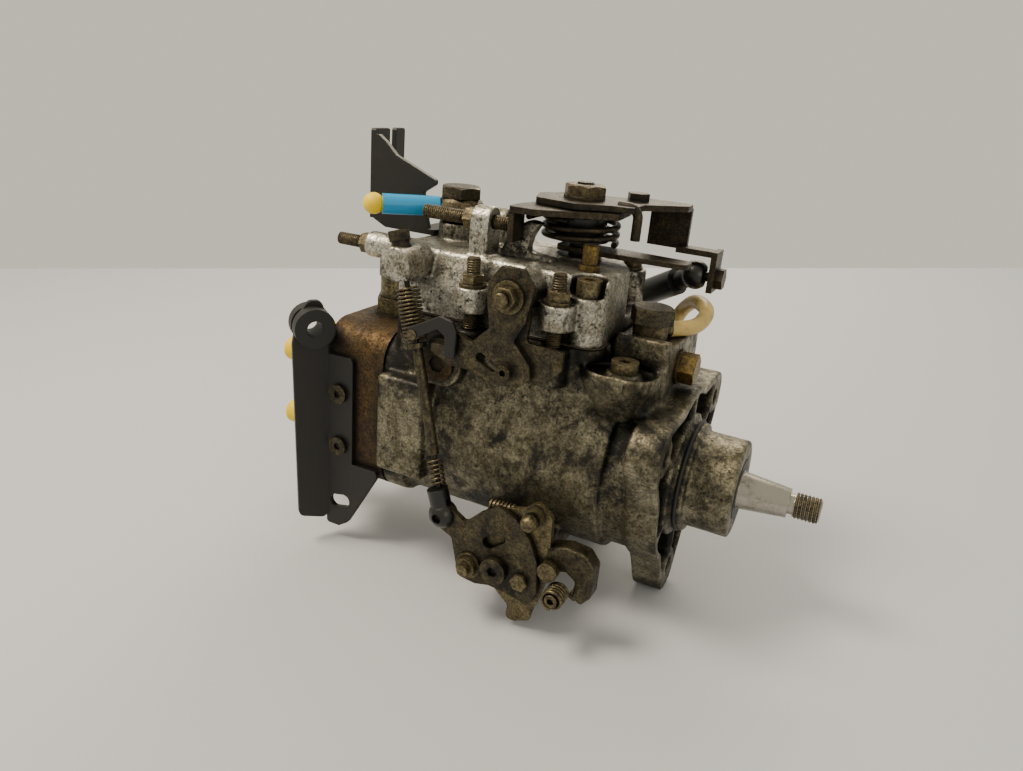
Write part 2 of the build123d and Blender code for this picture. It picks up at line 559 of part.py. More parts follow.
with BuildPart() as drive_shaft:
    with BuildSketch(Plane.XY):
        with BuildLine():
            Polyline((SHAFT_REAR, 0), (SHAFT_REAR, CLAW_RADIUS), (SHAFT_REAR + 6, CLAW_RADIUS),
                     (SHAFT_REAR + 6, JOURNAL_RADIUS), (NOSE_END + 0.4, JOURNAL_RADIUS),
                     (NOSE_END + 0.4, taper_radius(NOSE_END + 0.4)), (TAPER_END, taper_radius(TAPER_END)),
                     (TAPER_END, NECK_RADIUS), (TAPER_END + NECK_LENGTH, NECK_RADIUS),
                     (TAPER_END + NECK_LENGTH, M12 - 0.1), (SHAFT_TIP - 1, M12 - 0.1),
                     (SHAFT_TIP, M12 - 1.1), (SHAFT_TIP, 0), close=True)
        make_face()
    revolve(axis=Axis.X)
    # two claws that reach through the roller ring
    with BuildSketch(rear(SHAFT_REAR)):
        for side in (-1, 1):
            with Locations((side * 8.5, 0)):
                Rectangle(6, 9)
    extrude(amount=12)
save(drive_shaft, "drive_shaft")

with BuildPart() as shaft_bush:
    rod(front(VANE_FACE), BUSH_RADIUS, 40)
    rod(front(VANE_FACE), JOURNAL_RADIUS + RUN, 40, mode=Mode.SUBTRACT)
save(shaft_bush, "shaft_bush")

with BuildPart() as shaft_seal:
    rod(front(NOSE_END - SEAL_WIDTH), SEAL_RADIUS, SEAL_WIDTH)
    rod(front(NOSE_END - SEAL_WIDTH), JOURNAL_RADIUS + SEAT, SEAL_WIDTH, mode=Mode.SUBTRACT)
save(shaft_seal, "shaft_seal")

with BuildPart() as vane_pump_ring:
    rod(rear(VANE_FACE), RECESS_RADIUS, VANE_WIDTH)
    rod(rear(VANE_FACE, 0, RING_OFFSET), RING_BORE_RADIUS, VANE_WIDTH, mode=Mode.SUBTRACT)
save(vane_pump_ring, "vane_pump_ring")

with BuildPart() as vane_pump_plate:
    rod(rear(VANE_FACE - VANE_WIDTH), RECESS_RADIUS, VANE_PLATE)
    rod(rear(VANE_FACE - VANE_WIDTH), JOURNAL_RADIUS + 1, VANE_PLATE, mode=Mode.SUBTRACT)
save(vane_pump_plate, "vane_pump_plate")

ROTOR_FACE = VANE_FACE - 0.1
ROTOR_WIDTH = VANE_WIDTH - 0.2
with BuildPart() as vane_rotor:
    rod(rear(ROTOR_FACE), VANE_ROTOR_RADIUS, ROTOR_WIDTH)
    rod(rear(ROTOR_FACE), JOURNAL_RADIUS, ROTOR_WIDTH, mode=Mode.SUBTRACT)
    with BuildSketch(rear(ROTOR_FACE)):
        with PolarLocations(VANE_ROTOR_RADIUS - 3, VANE_COUNT):
            Rectangle(9, VANE_THICK + 2 * SEAT)
    extrude(amount=ROTOR_WIDTH, mode=Mode.SUBTRACT)
save(vane_rotor, "vane_rotor")

VANE_LENGTH = RING_BORE_RADIUS - RING_OFFSET - 0.2 - (VANE_ROTOR_RADIUS - 7)
with BuildPart() as pump_vanes:
    with BuildSketch(rear(ROTOR_FACE)):
        with PolarLocations(VANE_ROTOR_RADIUS - 7 + VANE_LENGTH / 2, VANE_COUNT):
            Rectangle(VANE_LENGTH, VANE_THICK)
    extrude(amount=ROTOR_WIDTH)
save(pump_vanes, "pump_vanes")

GEAR_WIDTH = GEAR_FRONT - GEAR_REAR
with BuildPart() as drive_gear:
    gear_teeth(front(GEAR_REAR), DRIVE_TEETH, 90, GEAR_WIDTH)
    rod(front(GEAR_REAR), JOURNAL_RADIUS, GEAR_WIDTH, mode=Mode.SUBTRACT)
save(drive_gear, "drive_gear")

with BuildPart() as roller_ring:
    rod(rear(ROLLER_FRONT), ROLLER_BORE, ROLLER_FRONT - ROLLER_REAR)
    rod(rear(ROLLER_FRONT), CLAW_RADIUS + 1, ROLLER_FRONT - ROLLER_REAR, mode=Mode.SUBTRACT)
    for turn in (45, 135, 225, 315):
        with BuildSketch(Plane(origin=(ROLLER_REAR + 3.5, 0, 0), x_dir=(1, 0, 0),
                               z_dir=(0, cos(radians(turn)), sin(radians(turn))))) as pocket:
            Circle(ROLLER_RADIUS + 0.2)
        extrude(pocket.sketch, amount=40, mode=Mode.SUBTRACT)
    rod(Plane(origin=(TIMING_X, 0, 0), x_dir=(1, 0, 0), z_dir=(0, 0, -1)).offset(CLAW_RADIUS + 2), 3,
        -TIMING_Z - CLAW_RADIUS)
save(roller_ring, "roller_ring")

with BuildPart() as cam_rollers:
    for turn in (45, 135, 225, 315):
        axle = Plane(origin=(ROLLER_REAR + 3.5, 0, 0), x_dir=(1, 0, 0),
                     z_dir=(0, cos(radians(turn)), sin(radians(turn))))
        rod(axle.offset(CLAW_RADIUS + 2), ROLLER_RADIUS, ROLLER_BORE - CLAW_RADIUS - 4)
save(cam_rollers, "cam_rollers")

with BuildPart() as cam_plate:
    rod(rear(CAM_FRONT - LOBE_LIFT), 24, CAM_FRONT - LOBE_LIFT - CAM_REAR)
    # four lobes on the face that meets the rollers
    with BuildSketch(front(CAM_FRONT - LOBE_LIFT - 1)):
        with PolarLocations(ROLLER_PITCH, 4):
            Rectangle(9, 12)
    extrude(amount=LOBE_LIFT + 1)
    fillet(cam_plate.faces().sort_by(Axis.X)[-1].edges().filter_by(GeomType.LINE), 1)
    # claws between those of the shaft
    with BuildSketch(front(CAM_FRONT - LOBE_LIFT - 1)):
        for side in (-1, 1):
            with Locations((0, side * 8.5)):
                Rectangle(7, 6)
    extrude(amount=SHAFT_REAR - 1 - CAM_FRONT + LOBE_LIFT + 1)
save(cam_plate, "cam_plate")

with BuildPart() as plunger:
    rod(rear(CAM_REAR), 9, 4)
    rod(rear(CAM_REAR - 4), PLUNGER_RADIUS, CAM_REAR - 4 - PLUNGER_END)
save(plunger, "plunger")

SLEEVE_FRONT, SLEEVE_REAR = -105.0, -115.0
with BuildPart() as control_sleeve:
    rod(rear(SLEEVE_FRONT), 12, SLEEVE_FRONT - SLEEVE_REAR)
    rod(rear(SLEEVE_FRONT), PLUNGER_RADIUS + RUN, SLEEVE_FRONT - SLEEVE_REAR, mode=Mode.SUBTRACT)
    rod(up(8, LEVER_AXLE[0]), 3, 6, mode=Mode.SUBTRACT)
save(control_sleeve, "control_sleeve")

# ================================================================ governor
CAGE_RADIUS = 17.3
GOVERNOR_SLEEVE_END = -107.6
with BuildPart() as governor_pin:
    rod(front(-101, 0, GOVERNOR_RISE), GOVERNOR_PIN, GEAR_FRONT + 8 + 101)
save(governor_pin, "governor_pin")

with BuildPart() as governor_cage:
    gear_teeth(front(GEAR_REAR, 0, GOVERNOR_RISE), GOVERNOR_TEETH, 270 + 180 / GOVERNOR_TEETH, GEAR_WIDTH)
    shoulder(rear(GEAR_REAR, 0, GOVERNOR_RISE), (7, 3), (CAGE_RADIUS, 25))
    rod(rear(GEAR_REAR - 6, 0, GOVERNOR_RISE), CAGE_RADIUS - 2, 40, mode=Mode.SUBTRACT)
    with BuildSketch(rear(GEAR_REAR - 7, 0, GOVERNOR_RISE)):
        with PolarLocations(CAGE_RADIUS, 4, start_angle=45):
            Rectangle(10, 12)
    extrude(amount=16, mode=Mode.SUBTRACT)
    rod(front(GEAR_REAR - 10, 0, GOVERNOR_RISE), GOVERNOR_PIN + RUN, 30, mode=Mode.SUBTRACT)
save(governor_cage, "governor_cage")

with BuildPart() as flyweights:
    with BuildSketch(rear(GEAR_REAR - 7.5, 0, GOVERNOR_RISE)):
        with PolarLocations(11.8, 4, start_angle=45):
            Rectangle(6.5, 11)
    extrude(amount=15)
save(flyweights, "flyweights")

with BuildPart() as governor_sleeve:
    shoulder(rear(GEAR_REAR - 7.5, 0, GOVERNOR_RISE), (6, 16), (8, 3),
             (6, GEAR_REAR - 26.5 - GOVERNOR_SLEEVE_END))
    rod(rear(GEAR_REAR - 7.5, 0, GOVERNOR_RISE), GOVERNOR_PIN + RUN, 40.5, mode=Mode.SUBTRACT)
save(governor_sleeve, "governor_sleeve")

with BuildPart() as governor_lever:
    with BuildSketch(front(LEVER_AXLE[0] - 2)):
        with BuildLine():
            Polyline((-3, 15), (3, 15), (6, 22), (6, 50), (3, 62), (-3, 62), (-6, 50), (-6, 22), close=True)
        make_face()
    extrude(amount=4)
    rod(far(-18.7, *LEVER_AXLE), AXLE_RADIUS, 37.4)
    rod(up(12, LEVER_AXLE[0]), 1.6, 5)
    with Locations((LEVER_AXLE[0], 0, 10.6)):
        Sphere(2.6)
save(governor_lever, "governor_lever")

# ================================================================ timing device
with BuildPart() as timing_piston:
    rod(far(-TIMING_PISTON_LENGTH / 2, TIMING_X, TIMING_Z), TIMING_BORE, TIMING_PISTON_LENGTH)
    with BuildSketch(up(TIMING_Z - 4, TIMING_X)):
        SlotOverall(11, 6.6, rotation=90)
    extrude(amount=TIMING_BORE + 5, mode=Mode.SUBTRACT)
save(timing_piston, "timing_piston")

COVER_PLATE = 4.0
with BuildPart() as timing_covers:
    for plane in (near(-TIMING_HALF_LENGTH, TIMING_X, TIMING_Z), far(TIMING_HALF_LENGTH, TIMING_X, TIMING_Z)):
        with BuildSketch(plane) as pad:
            RectangleRounded(40, 32, 6)
        extrude(pad.sketch, amount=COVER_PLATE)
        rod(plane.offset(COVER_PLATE), TIMING_BORE, 3)
    rod(near(-TIMING_HALF_LENGTH, *COLD_PIVOT), 8, -COLD_FACE - TIMING_HALF_LENGTH)
    rod(near(COLD_FACE, *COLD_PIVOT), M8 + SEAT, -14, mode=Mode.SUBTRACT)
    for x, z in timing_screw_spots:
        rod(near(-TIMING_HALF_LENGTH, x, z), M5 + SEAT, COVER_PLATE, mode=Mode.SUBTRACT)
        rod(far(TIMING_HALF_LENGTH, x, z), M5 + SEAT, COVER_PLATE, mode=Mode.SUBTRACT)
save(timing_covers, "timing_covers")

with BuildPart() as timing_cover_screws:
    for x, z in timing_screw_spots:
        for plane in (near(-TIMING_HALF_LENGTH - COVER_PLATE, x, z),
                      far(TIMING_HALF_LENGTH + COVER_PLATE, x, z)):
            socket_screw(plane, M5, 4.2, 4, COVER_PLATE + 6, 4)
save(timing_cover_screws, "timing_cover_screws")

# ================================================================ cover and front fasteners
NUT_FLATS = 10.0
STUD_ROOT = 52.0

with BuildPart() as cover_studs:
    for x in STUD_XS:
        rod(up(STUD_ROOT, x, STUD_Y), M6, EAR_TOP + 14 - STUD_ROOT)
save(cover_studs, "cover_studs")

with BuildPart() as cover_screws:
    (x, y), seat = cover_screw_spots[0], cover_screw_seats[0]
    socket_screw(up(seat, x, y), M6, 6, 8, seat - COVER_BASE + 12, 5)
    for (x, y), seat in zip(cover_screw_spots[1:], (cover_screw_seats[1], COVER_TOP + 3)):
        hex_bolt(up(seat, x, y), M6, NUT_FLATS, 5, seat - COVER_BASE + 12, washer=1.5)
    socket_screw(up(EAR_SCREW_TOP, *EAR_SCREW), M6, 6.5, 5, 12, 5)
save(cover_screws, "cover_screws")

with BuildPart() as adjusting_screws:
    rod(front(-148, POST_Y, IDLE_Z), M6, 50)
    rod(front(-132, SECOND_STOP[1], SECOND_STOP[2]), M6, 20)
    rod(rear(-160, FULL_LOAD_Y, FULL_LOAD_Z), M6, 46)
    block((-149, -146.5), (POST_Y - 0.6, POST_Y + 0.6), (IDLE_Z - 4, IDLE_Z + 4), mode=Mode.SUBTRACT)
    block((-207, -204), (FULL_LOAD_Y - 0.6, FULL_LOAD_Y + 0.6), (FULL_LOAD_Z - 4, FULL_LOAD_Z + 4),
          mode=Mode.SUBTRACT)
save(adjusting_screws, "adjusting_screws")

with BuildPart() as m6_nuts:
    lock_faces = [(front(POST_X - POST_WIDTH / 2 - 5, POST_Y, IDLE_Z)),
                  (front(SECOND_STOP[0] - 10, SECOND_STOP[1], SECOND_STOP[2])),
                  (front(FULL_LOAD_BOSS_END - 5, FULL_LOAD_Y, FULL_LOAD_Z))]
    for plane in lock_faces:
        hexagon(plane, NUT_FLATS, 5)
        crown(plane.offset(5), NUT_FLATS)
        rod(plane, M6, 5, mode=Mode.SUBTRACT)
    for x in STUD_XS:
        rod(up(EAR_TOP, x, STUD_Y), 6.5, 1.5)
        hexagon(up(EAR_TOP + 1.5, x, STUD_Y), NUT_FLATS, 5)
        crown(up(EAR_TOP + 6.5, x, STUD_Y), NUT_FLATS)
        rod(up(EAR_TOP, x, STUD_Y), M6, 6.5, mode=Mode.SUBTRACT)
save(m6_nuts, "m6_nuts")

with BuildPart() as brass_fittings:
    plug = front(BLOCK_FRONT, *FRONT_PLUG)
    rod(plug, 8.8, 1.5)
    hexagon(plug.offset(1.5), 14, 8)
    crown(plug.offset(9.5), 14)
    rod(plug, M12, -8)
    shoulder(up(COVER_TOP, -58, -20), (5, 3), (3.8, 9))
    rod(up(COVER_TOP, -58, -20), M6, -5)
    rod(up(COVER_TOP, -58, -20), 1.2, 12, mode=Mode.SUBTRACT)
    shoulder(far(34, *FRONT_NIPPLE), (6, 4), (3.2, 4.5))
save(brass_fittings, "brass_fittings")

# ================================================================ inlet, hose and return
EYE_RADIUS, EYE_HEIGHT = 8.6, 8.0
HOSE_RADIUS = 3.9
STUB_RADIUS = 2.2
STUB_COLLAR = 11.0                        # bolt axis to the face that the hose meets
STUB_WAY = (0.64, 0.77)
BOLT_FLATS = 19.0

with BuildPart() as inlet_banjo:
    rod(up(BLOCK_TOP, INLET_X, INLET_Y), EYE_RADIUS, EYE_HEIGHT)
    stub = Plane(origin=(INLET_X, INLET_Y, BLOCK_TOP + EYE_HEIGHT / 2), z_dir=(*STUB_WAY, 0))
    rod(stub, 3.8, STUB_COLLAR)
    rod(stub, STUB_RADIUS, STUB_COLLAR + 8)
    rod(up(BLOCK_TOP, INLET_X, INLET_Y), M12, EYE_HEIGHT, mode=Mode.SUBTRACT)
save(inlet_banjo, "inlet_banjo")

RETURN_EYE_RADIUS, RETURN_EYE_HEIGHT = 10.9, 13.0
RETURN_BOLT_FLATS = 20.0
SLEEVE_HEIGHT = RETURN_BOSS_TOP + 7.6
SLEEVE_WAY = (-0.77, -0.64, 0)
with BuildPart() as return_banjo:
    rod(up(RETURN_BOSS_TOP, RETURN_X, RETURN_Y), RETURN_EYE_RADIUS, RETURN_EYE_HEIGHT)
    fillet(return_banjo.edges().filter_by(GeomType.CIRCLE), 3.5)
    rod(Plane(origin=(RETURN_X, RETURN_Y, SLEEVE_HEIGHT), z_dir=SLEEVE_WAY), 4, 26)
    rod(up(RETURN_BOSS_TOP, RETURN_X, RETURN_Y), M12, RETURN_EYE_HEIGHT, mode=Mode.SUBTRACT)
save(return_banjo, "return_banjo")

with BuildPart() as banjo_bolts:
    hex_bolt(up(BLOCK_TOP + EYE_HEIGHT, INLET_X, INLET_Y), M12, BOLT_FLATS, 8, EYE_HEIGHT + 14)
    hex_bolt(up(RETURN_BOSS_TOP + RETURN_EYE_HEIGHT, RETURN_X, RETURN_Y), M12, RETURN_BOLT_FLATS, 6,
             RETURN_EYE_HEIGHT + 14)
save(banjo_bolts, "banjo_bolts")

SLEEVE_START, SLEEVE_LENGTH = RETURN_EYE_RADIUS + 0.6, 30.0
with BuildPart() as pipe_sleeve:
    along = Plane(origin=(RETURN_X, RETURN_Y, SLEEVE_HEIGHT), z_dir=SLEEVE_WAY)
    rod(along.offset(SLEEVE_START), 5.3, SLEEVE_LENGTH)
    rod(along.offset(SLEEVE_START), 4, SLEEVE_LENGTH, mode=Mode.SUBTRACT)
save(pipe_sleeve, "pipe_sleeve")

# caps that close the outlets, and the ball-ended one in the sleeve
CAP_WALL = 1.2
with BuildPart() as outlet_caps:
    for y, z in valve_spots:
        base = rear(HEAD_FACE - HEAD_BOSS - 14, y, z)
        rod(base, M12 + CAP_WALL, 27)
        fillet(outlet_caps.faces().sort_by(Axis.X)[0].edges(), 3.5)
        rod(base, M12 + SEAT, HEAD_FACE - HEAD_BOSS - 14 - VALVE_END + 1, mode=Mode.SUBTRACT)
    turned(Plane(origin=along.offset(SLEEVE_START + SLEEVE_LENGTH + 4.4).origin, x_dir=SLEEVE_WAY,
                 z_dir=(0, 0, 1)), (0, 0, 5.6), (-13, 13, 3.8))
save(outlet_caps, "outlet_caps")

hose_start = (INLET_X + STUB_WAY[0] * STUB_COLLAR, INLET_Y + STUB_WAY[1] * STUB_COLLAR,
              BLOCK_TOP + EYE_HEIGHT / 2)
hose_bend = (INLET_X + STUB_WAY[0] * 28, INLET_Y + STUB_WAY[1] * 28, BLOCK_TOP + EYE_HEIGHT / 2)
hose_points = [hose_start, hose_bend, (-8, 30, 79), (-20, 48, 80), (-31, 61, 67), (-30, 44.5, 58.5)]


def corner_radii(points):
    """Largest radius at each corner of a route that its two runs leave room for."""
    radii = []
    for before, corner, after in zip(points, points[1:], points[2:]):
        into, away = Vector(*corner) - Vector(*before), Vector(*after) - Vector(*corner)
        turn = radians(into.get_angle(away))
        radii.append(0.45 * min(into.length, away.length) / tan(turn / 2))
    return radii


hose_radii = corner_radii(hose_points)
with BuildPart() as return_hose:
    with BuildLine() as route:
        FilletPolyline(*hose_points, radius=hose_radii)
    print("hose length", round(route.wire().length, 1))
    with BuildSketch(Plane(origin=route.line @ 0, z_dir=route.line % 0)):
        Circle(HOSE_RADIUS)
    sweep()
    # the bore over the stub and over the nipple
    rod(stub.offset(STUB_COLLAR), STUB_RADIUS, 8, mode=Mode.SUBTRACT)
save(return_hose, "return_hose")


# ================================================================ throttle shaft and levers
LOWER_LEVER_Z, LOWER_PLATE_Z, UPPER_PLATE_Z = 104.0, 123.5, 127.0
PLATE_THICK = 3.0
HOOK_RADIUS = 2.4
BALL_POINT = (-20.0, 38.0, 95.0)
BALL_RADIUS = 4.0
LINK_END = (-62.0, 61.0, 69.0)
THROTTLE_STUD = 4.0

with BuildPart() as throttle_shaft:
    shoulder(up(84, THROTTLE_X, THROTTLE_Y), (8, 4), (THROTTLE_RADIUS, UPPER_PLATE_Z + PLATE_THICK - 88),
             (THROTTLE_STUD, 8))
    rod(up(77, THROTTLE_X - 5, THROTTLE_Y), 2, 7)
save(throttle_shaft, "throttle_shaft")

with BuildPart() as throttle_levers:
    # lower lever, under the return spring
    plate(up(LOWER_LEVER_Z), [(-16, -1), (-16, 11), (-66, 14), (-84, 13), (-84, -3), (-66, -4)], 2.5, 4)
    # stop plate above the spring, with a tab for each stop screw
    plate(up(LOWER_PLATE_Z), [(-97.7, -32), (-97.7, -17), (-95, -6), (-97, 10), (-103, 30), (-94, 38),
                              (-74, 30), (-52, 16), (-50, -8), (-64, -18), (-84, -32)], PLATE_THICK, 2)
    block((-97.7, -94.7), (-31, -19), (109, LOWER_PLATE_Z + 1))
    tab_plane = Plane(origin=(THROTTLE_X, THROTTLE_Y, 107), x_dir=(cos(radians(130)), sin(radians(130)), 0),
                      z_dir=(0, 0, 1))
    with BuildSketch(tab_plane) as tab:
        with Locations((36, 0)):
            Rectangle(3, 10)
    extrude(tab.sketch, amount=LOWER_PLATE_Z + 1 - 107)
    rod(up(LOWER_LEVER_Z, THROTTLE_X, THROTTLE_Y), THROTTLE_RADIUS, 30, mode=Mode.SUBTRACT)
save(throttle_levers, "throttle_levers")

with BuildPart() as throttle_arm:
    plate(up(UPPER_PLATE_Z), [(-92, -14), (-98, 4), (-88, 22), (-62, 28), (-51, 41), (-27, 41), (-27, 30),
                              (-44.5, 12), (-44.5, -6), (-56, -8), (-70, -18)], PLATE_THICK, 3)
    # bent wire hook over the end of the return spring
    with BuildLine() as bend:
        FilletPolyline((-54, 0, UPPER_PLATE_Z + HOOK_RADIUS), (-43.5, 0, UPPER_PLATE_Z + HOOK_RADIUS),
                       (-43.5, 0, 114), radius=5)
    with BuildSketch(Plane(origin=bend.line @ 0, z_dir=bend.line % 0)) as wire:
        Circle(HOOK_RADIUS)
    sweep(wire.sketch, path=bend.line)
    # screw that holds the link bracket, and the bracket: plate, foot and the plate that holds the ball
    hexagon(up(UPPER_PLATE_Z + 1, -52, 24), NUT_FLATS, PLATE_THICK + 3)
    block((-48.5, -27), (38, 41), (107, UPPER_PLATE_Z + 1))
    block((-31, -9), (32, 41), (106, 109))
    block((-12, -9), (31, 45), (88, 109))
    rod(up(UPPER_PLATE_Z, THROTTLE_X, THROTTLE_Y), THROTTLE_RADIUS, PLATE_THICK, mode=Mode.SUBTRACT)
    # ball stud
    turned(Plane(origin=BALL_POINT), (0, 0, BALL_RADIUS), (0, -9 - BALL_POINT[0], 2.5))
    hexagon(front(-9, BALL_POINT[1], BALL_POINT[2]), NUT_FLATS, 4)
save(throttle_arm, "throttle_arm")

with BuildPart() as throttle_nut:
    seat = up(UPPER_PLATE_Z + PLATE_THICK, THROTTLE_X, THROTTLE_Y)
    rod(seat, 10.5, 1.5)
    hexagon(seat.offset(1.5), BOLT_FLATS, 5.5)
    crown(seat.offset(7), BOLT_FLATS)
    rod(seat, THROTTLE_STUD, 7, mode=Mode.SUBTRACT)
save(throttle_nut, "throttle_nut")

SPRING_WIRE = 3.2
SPRING_RADIUS = 18.4
SPRING_FOOT, SPRING_TOP = LOWER_LEVER_Z + 3.5, LOWER_PLATE_Z - 1.0
with BuildPart() as throttle_spring:
    coil((THROTTLE_X, THROTTLE_Y, SPRING_FOOT), (THROTTLE_X, THROTTLE_Y, SPRING_TOP), SPRING_RADIUS,
         SPRING_WIRE, 2.75)
    # straight tail that lies on the horn
    rod(near(THROTTLE_Y - 0.3, THROTTLE_X - SPRING_RADIUS, SPRING_TOP - SPRING_WIRE / 2), SPRING_WIRE / 2, 24)
save(throttle_spring, "throttle_spring")

HOOD_RADIUS = 7.6
BOOT_RADIUS = 7.2
with BuildPart() as link_rod:
    way = Vector(*LINK_END) - Vector(*BALL_POINT)
    turned(Plane(origin=BALL_POINT, x_dir=way, z_dir=way.cross(Vector(0, 0, 1))), (0, 0, HOOD_RADIUS),
           (0, way.length, 5.2), (13, way.length - 18, BOOT_RADIUS), (way.length, 0, HOOD_RADIUS - 1.2))
    turned(Plane(origin=BALL_POINT), (0, 0, BALL_RADIUS + RUN), (0, HOOD_RADIUS + 1, BALL_RADIUS + RUN),
           mode=Mode.SUBTRACT)
    # flared mouth that lets the socket tip on the ball
    with BuildSketch(front(BALL_POINT[0] + 1, BALL_POINT[1], BALL_POINT[2])) as mouth:
        Circle(BALL_RADIUS)
    extrude(mouth.sketch, amount=HOOD_RADIUS, taper=-24, mode=Mode.SUBTRACT)
save(link_rod, "link_rod")

# ================================================================ idle lever
SIDE_BACK = -54.2
SIDE_MIDDLE = SIDE_BACK - 2.2
SIDE_FRONT = SIDE_MIDDLE - LEVER_THICK
with BuildPart() as side_levers:
    plate(near(SIDE_BACK), [(-88, 96), (-71, 97), (-70, 80), (-71, 70), (-52, 69), (-52, 60), (-62, 51),
                            (-68, 50), (-80, 72), (-90, 84)], 2.2, 2)
    plate(near(SIDE_MIDDLE), [(-112, 70), (-98, 65), (-89, 74), (-91, 88), (-91, 96), (-85, 104), (-74, 104),
                              (-68, 96), (-71, 80), (-76, 70), (-67, 60), (-66, 54), (-72, 48), (-84, 47),
                              (-97, 51), (-109, 51), (-120, 56), (-120, 60.5), (-110, 60)], LEVER_THICK, 1.2)
    # adjusting slot, its screw, and the shaft
    with BuildSketch(near(SIDE_MIDDLE)) as slot:
        with Locations((-89, 57)):
            SlotOverall(13, 5, rotation=-24)
    extrude(slot.sketch, amount=LEVER_THICK, mode=Mode.SUBTRACT)
    socket_screw(near(SIDE_FRONT, -78.5, 55), 2, 3.7, 4, 4, 3)
    rod(near(-38, *LEVER_PIVOT), M8, -SIDE_FRONT - 38)
    rod(near(SIDE_FRONT, *LEVER_PIVOT), M6, 8.4)
save(side_levers, "side_levers")

with BuildPart() as side_lever_nut:
    rod(near(SIDE_FRONT, *LEVER_PIVOT), 7.8, 1.6)
    hexagon(near(SIDE_FRONT - 1.6, *LEVER_PIVOT), NUT_FLATS, 4.6)
    crown(near(SIDE_FRONT - 6.2, *LEVER_PIVOT), NUT_FLATS)
    rod(near(SIDE_FRONT, *LEVER_PIVOT), M6, 7, mode=Mode.SUBTRACT)
save(side_lever_nut, "side_lever_nut")

# ================================================================ cold-start device
PIN_RADIUS = 2.5

with BuildPart() as cold_start_bracket:
    plate(near(COLD_FACE), [(-78, -20), (-68, -12), (-60, -10), (-53, -4), (-45, -10), (-44, -34),
                            (-46, -50), (-49, -62), (-55, -67), (-58, -75), (-65, -75), (-64, -67),
                            (-72, -60), (-82, -56), (-84, -40)], COLD_THICK, 3)
    # bent arm on the right that anchors the return spring
    plate(near(COLD_FACE), [(-50, -30), (-31, -27), (-24, -31), (-24, -44), (-29, -51), (-33, -49),
                            (-29, -42), (-30, -35), (-50, -40)], COLD_THICK, 1.5)
    rod(near(COLD_FACE, *COLD_PIVOT), M8 + SEAT, COLD_THICK, mode=Mode.SUBTRACT)
    # plug that closes the spring seat, and the stepped stud that holds a ball
    rod(near(BRACKET_FRONT, -43, -37), 5, 5)
    turned(Plane(origin=(-53, BRACKET_FRONT - 9, -11), x_dir=(0, 1, 0), z_dir=(0, 0, 1)), (0, 0, 4.2),
           (0, 9, 2.5), (4, 5, 4.5))
save(cold_start_bracket, "cold_start_bracket")

with BuildPart() as cold_start_lever:
    plate(near(COLD_LEVER_BACK), [(-52, -61), (-62, -58), (-74, -57), (-82, -59), (-91, -58), (-94, -50),
                                  (-97, -37), (-108, -32), (-109, -22), (-100, -20), (-90, -26), (-82, -18),
                                  (-72, -11), (-62, -15), (-54, -24), (-49, -35),
                                  (-48, -52)], COLD_THICK, 2.5)
    with BuildSketch(near(COLD_LEVER_BACK)) as window:
        with Locations((-73, -30.5)):
            SlotOverall(14, 6.5, rotation=38)
    extrude(window.sketch, amount=COLD_THICK, mode=Mode.SUBTRACT)
    rod(near(COLD_LEVER_BACK, CLEVIS_PIN[0], CLEVIS_PIN[1]), PIN_RADIUS, COLD_THICK, mode=Mode.SUBTRACT)
    rod(near(COLD_LEVER_BACK, *COLD_PIVOT), 4.6, COLD_THICK, mode=Mode.SUBTRACT)
save(cold_start_lever, "cold_start_lever")

with BuildPart() as cold_start_fasteners:
    # clamp bolt and clevis pin
    shoulder(near(COLD_LEVER_FRONT, -86, -49), (7, 1.5), (5.2, 3), (3, 3))
    hexagon(near(COLD_LEVER_FRONT, -57, -48), 8, 2.5)
    rod(near(CLEVIS_Y + 4.5, *CLEVIS_PIN), PIN_RADIUS, 9)
save(cold_start_fasteners, "cold_start_fasteners")

COIL_X, COIL_Z = -37.0, -47.0
with BuildPart() as cold_start_spring:
    coil((COIL_X, BRACKET_FRONT - 0.05, COIL_Z), (COIL_X, BRACKET_FRONT - 12, COIL_Z), 4.6, 1.7, 5)
save(cold_start_spring, "cold_start_spring")

# ================================================================ control rod on its line from the clevis
ROD_RADIUS, TUBE_RADIUS = 1.4, 2.8
END_BALL, END_BARREL, CLEVIS_UP, CLEVIS_DOWN = 7.4, 5.4, 14.0, 9.0
tilt = atan2(rod_way.X, rod_way.Z)
clevis_plane = Plane(origin=rod_foot, x_dir=(cos(tilt), 0, -sin(tilt)), z_dir=(sin(tilt), 0, cos(tilt)))


def share(f):
    """Point a share of the way up the rod's line."""
    return tuple(rod_foot + rod_way * f)


with BuildPart() as control_rod:
    # thin rod, collar and tube
    rod(rod_line.offset(10), ROD_RADIUS, rod_way.length + 4)
    rod(rod_line.offset(rod_way.length * 0.66), 5, 2.5)
    rod(rod_line.offset(rod_way.length * 0.24), TUBE_RADIUS, rod_way.length * 0.42)
save(control_rod, "control_rod")

with BuildPart() as rod_springs:
    coil(share(0.683), share(0.895), 5.4, 1.2, 14)
    coil(share(0.112), share(0.225), 3.4, 1.0, 6)
save(rod_springs, "rod_springs")

with BuildPart() as rod_clevis:
    turned(Plane(origin=rod_foot, x_dir=rod_way, z_dir=(0, 1, 0)), (0, 0, END_BALL),
           (0, CLEVIS_UP, END_BARREL))
    with BuildSketch(clevis_plane.offset(-CLEVIS_DOWN)) as gap_section:
        Rectangle(3 * END_BALL, COLD_THICK + 2 * GAP)
    extrude(gap_section.sketch, amount=CLEVIS_DOWN + 8, mode=Mode.SUBTRACT)
    rod(near(CLEVIS_Y + 10, *CLEVIS_PIN), PIN_RADIUS + RUN, 20, mode=Mode.SUBTRACT)
    rod(rod_line.offset(10), ROD_RADIUS, 10, mode=Mode.SUBTRACT)
save(rod_clevis, "rod_clevis")

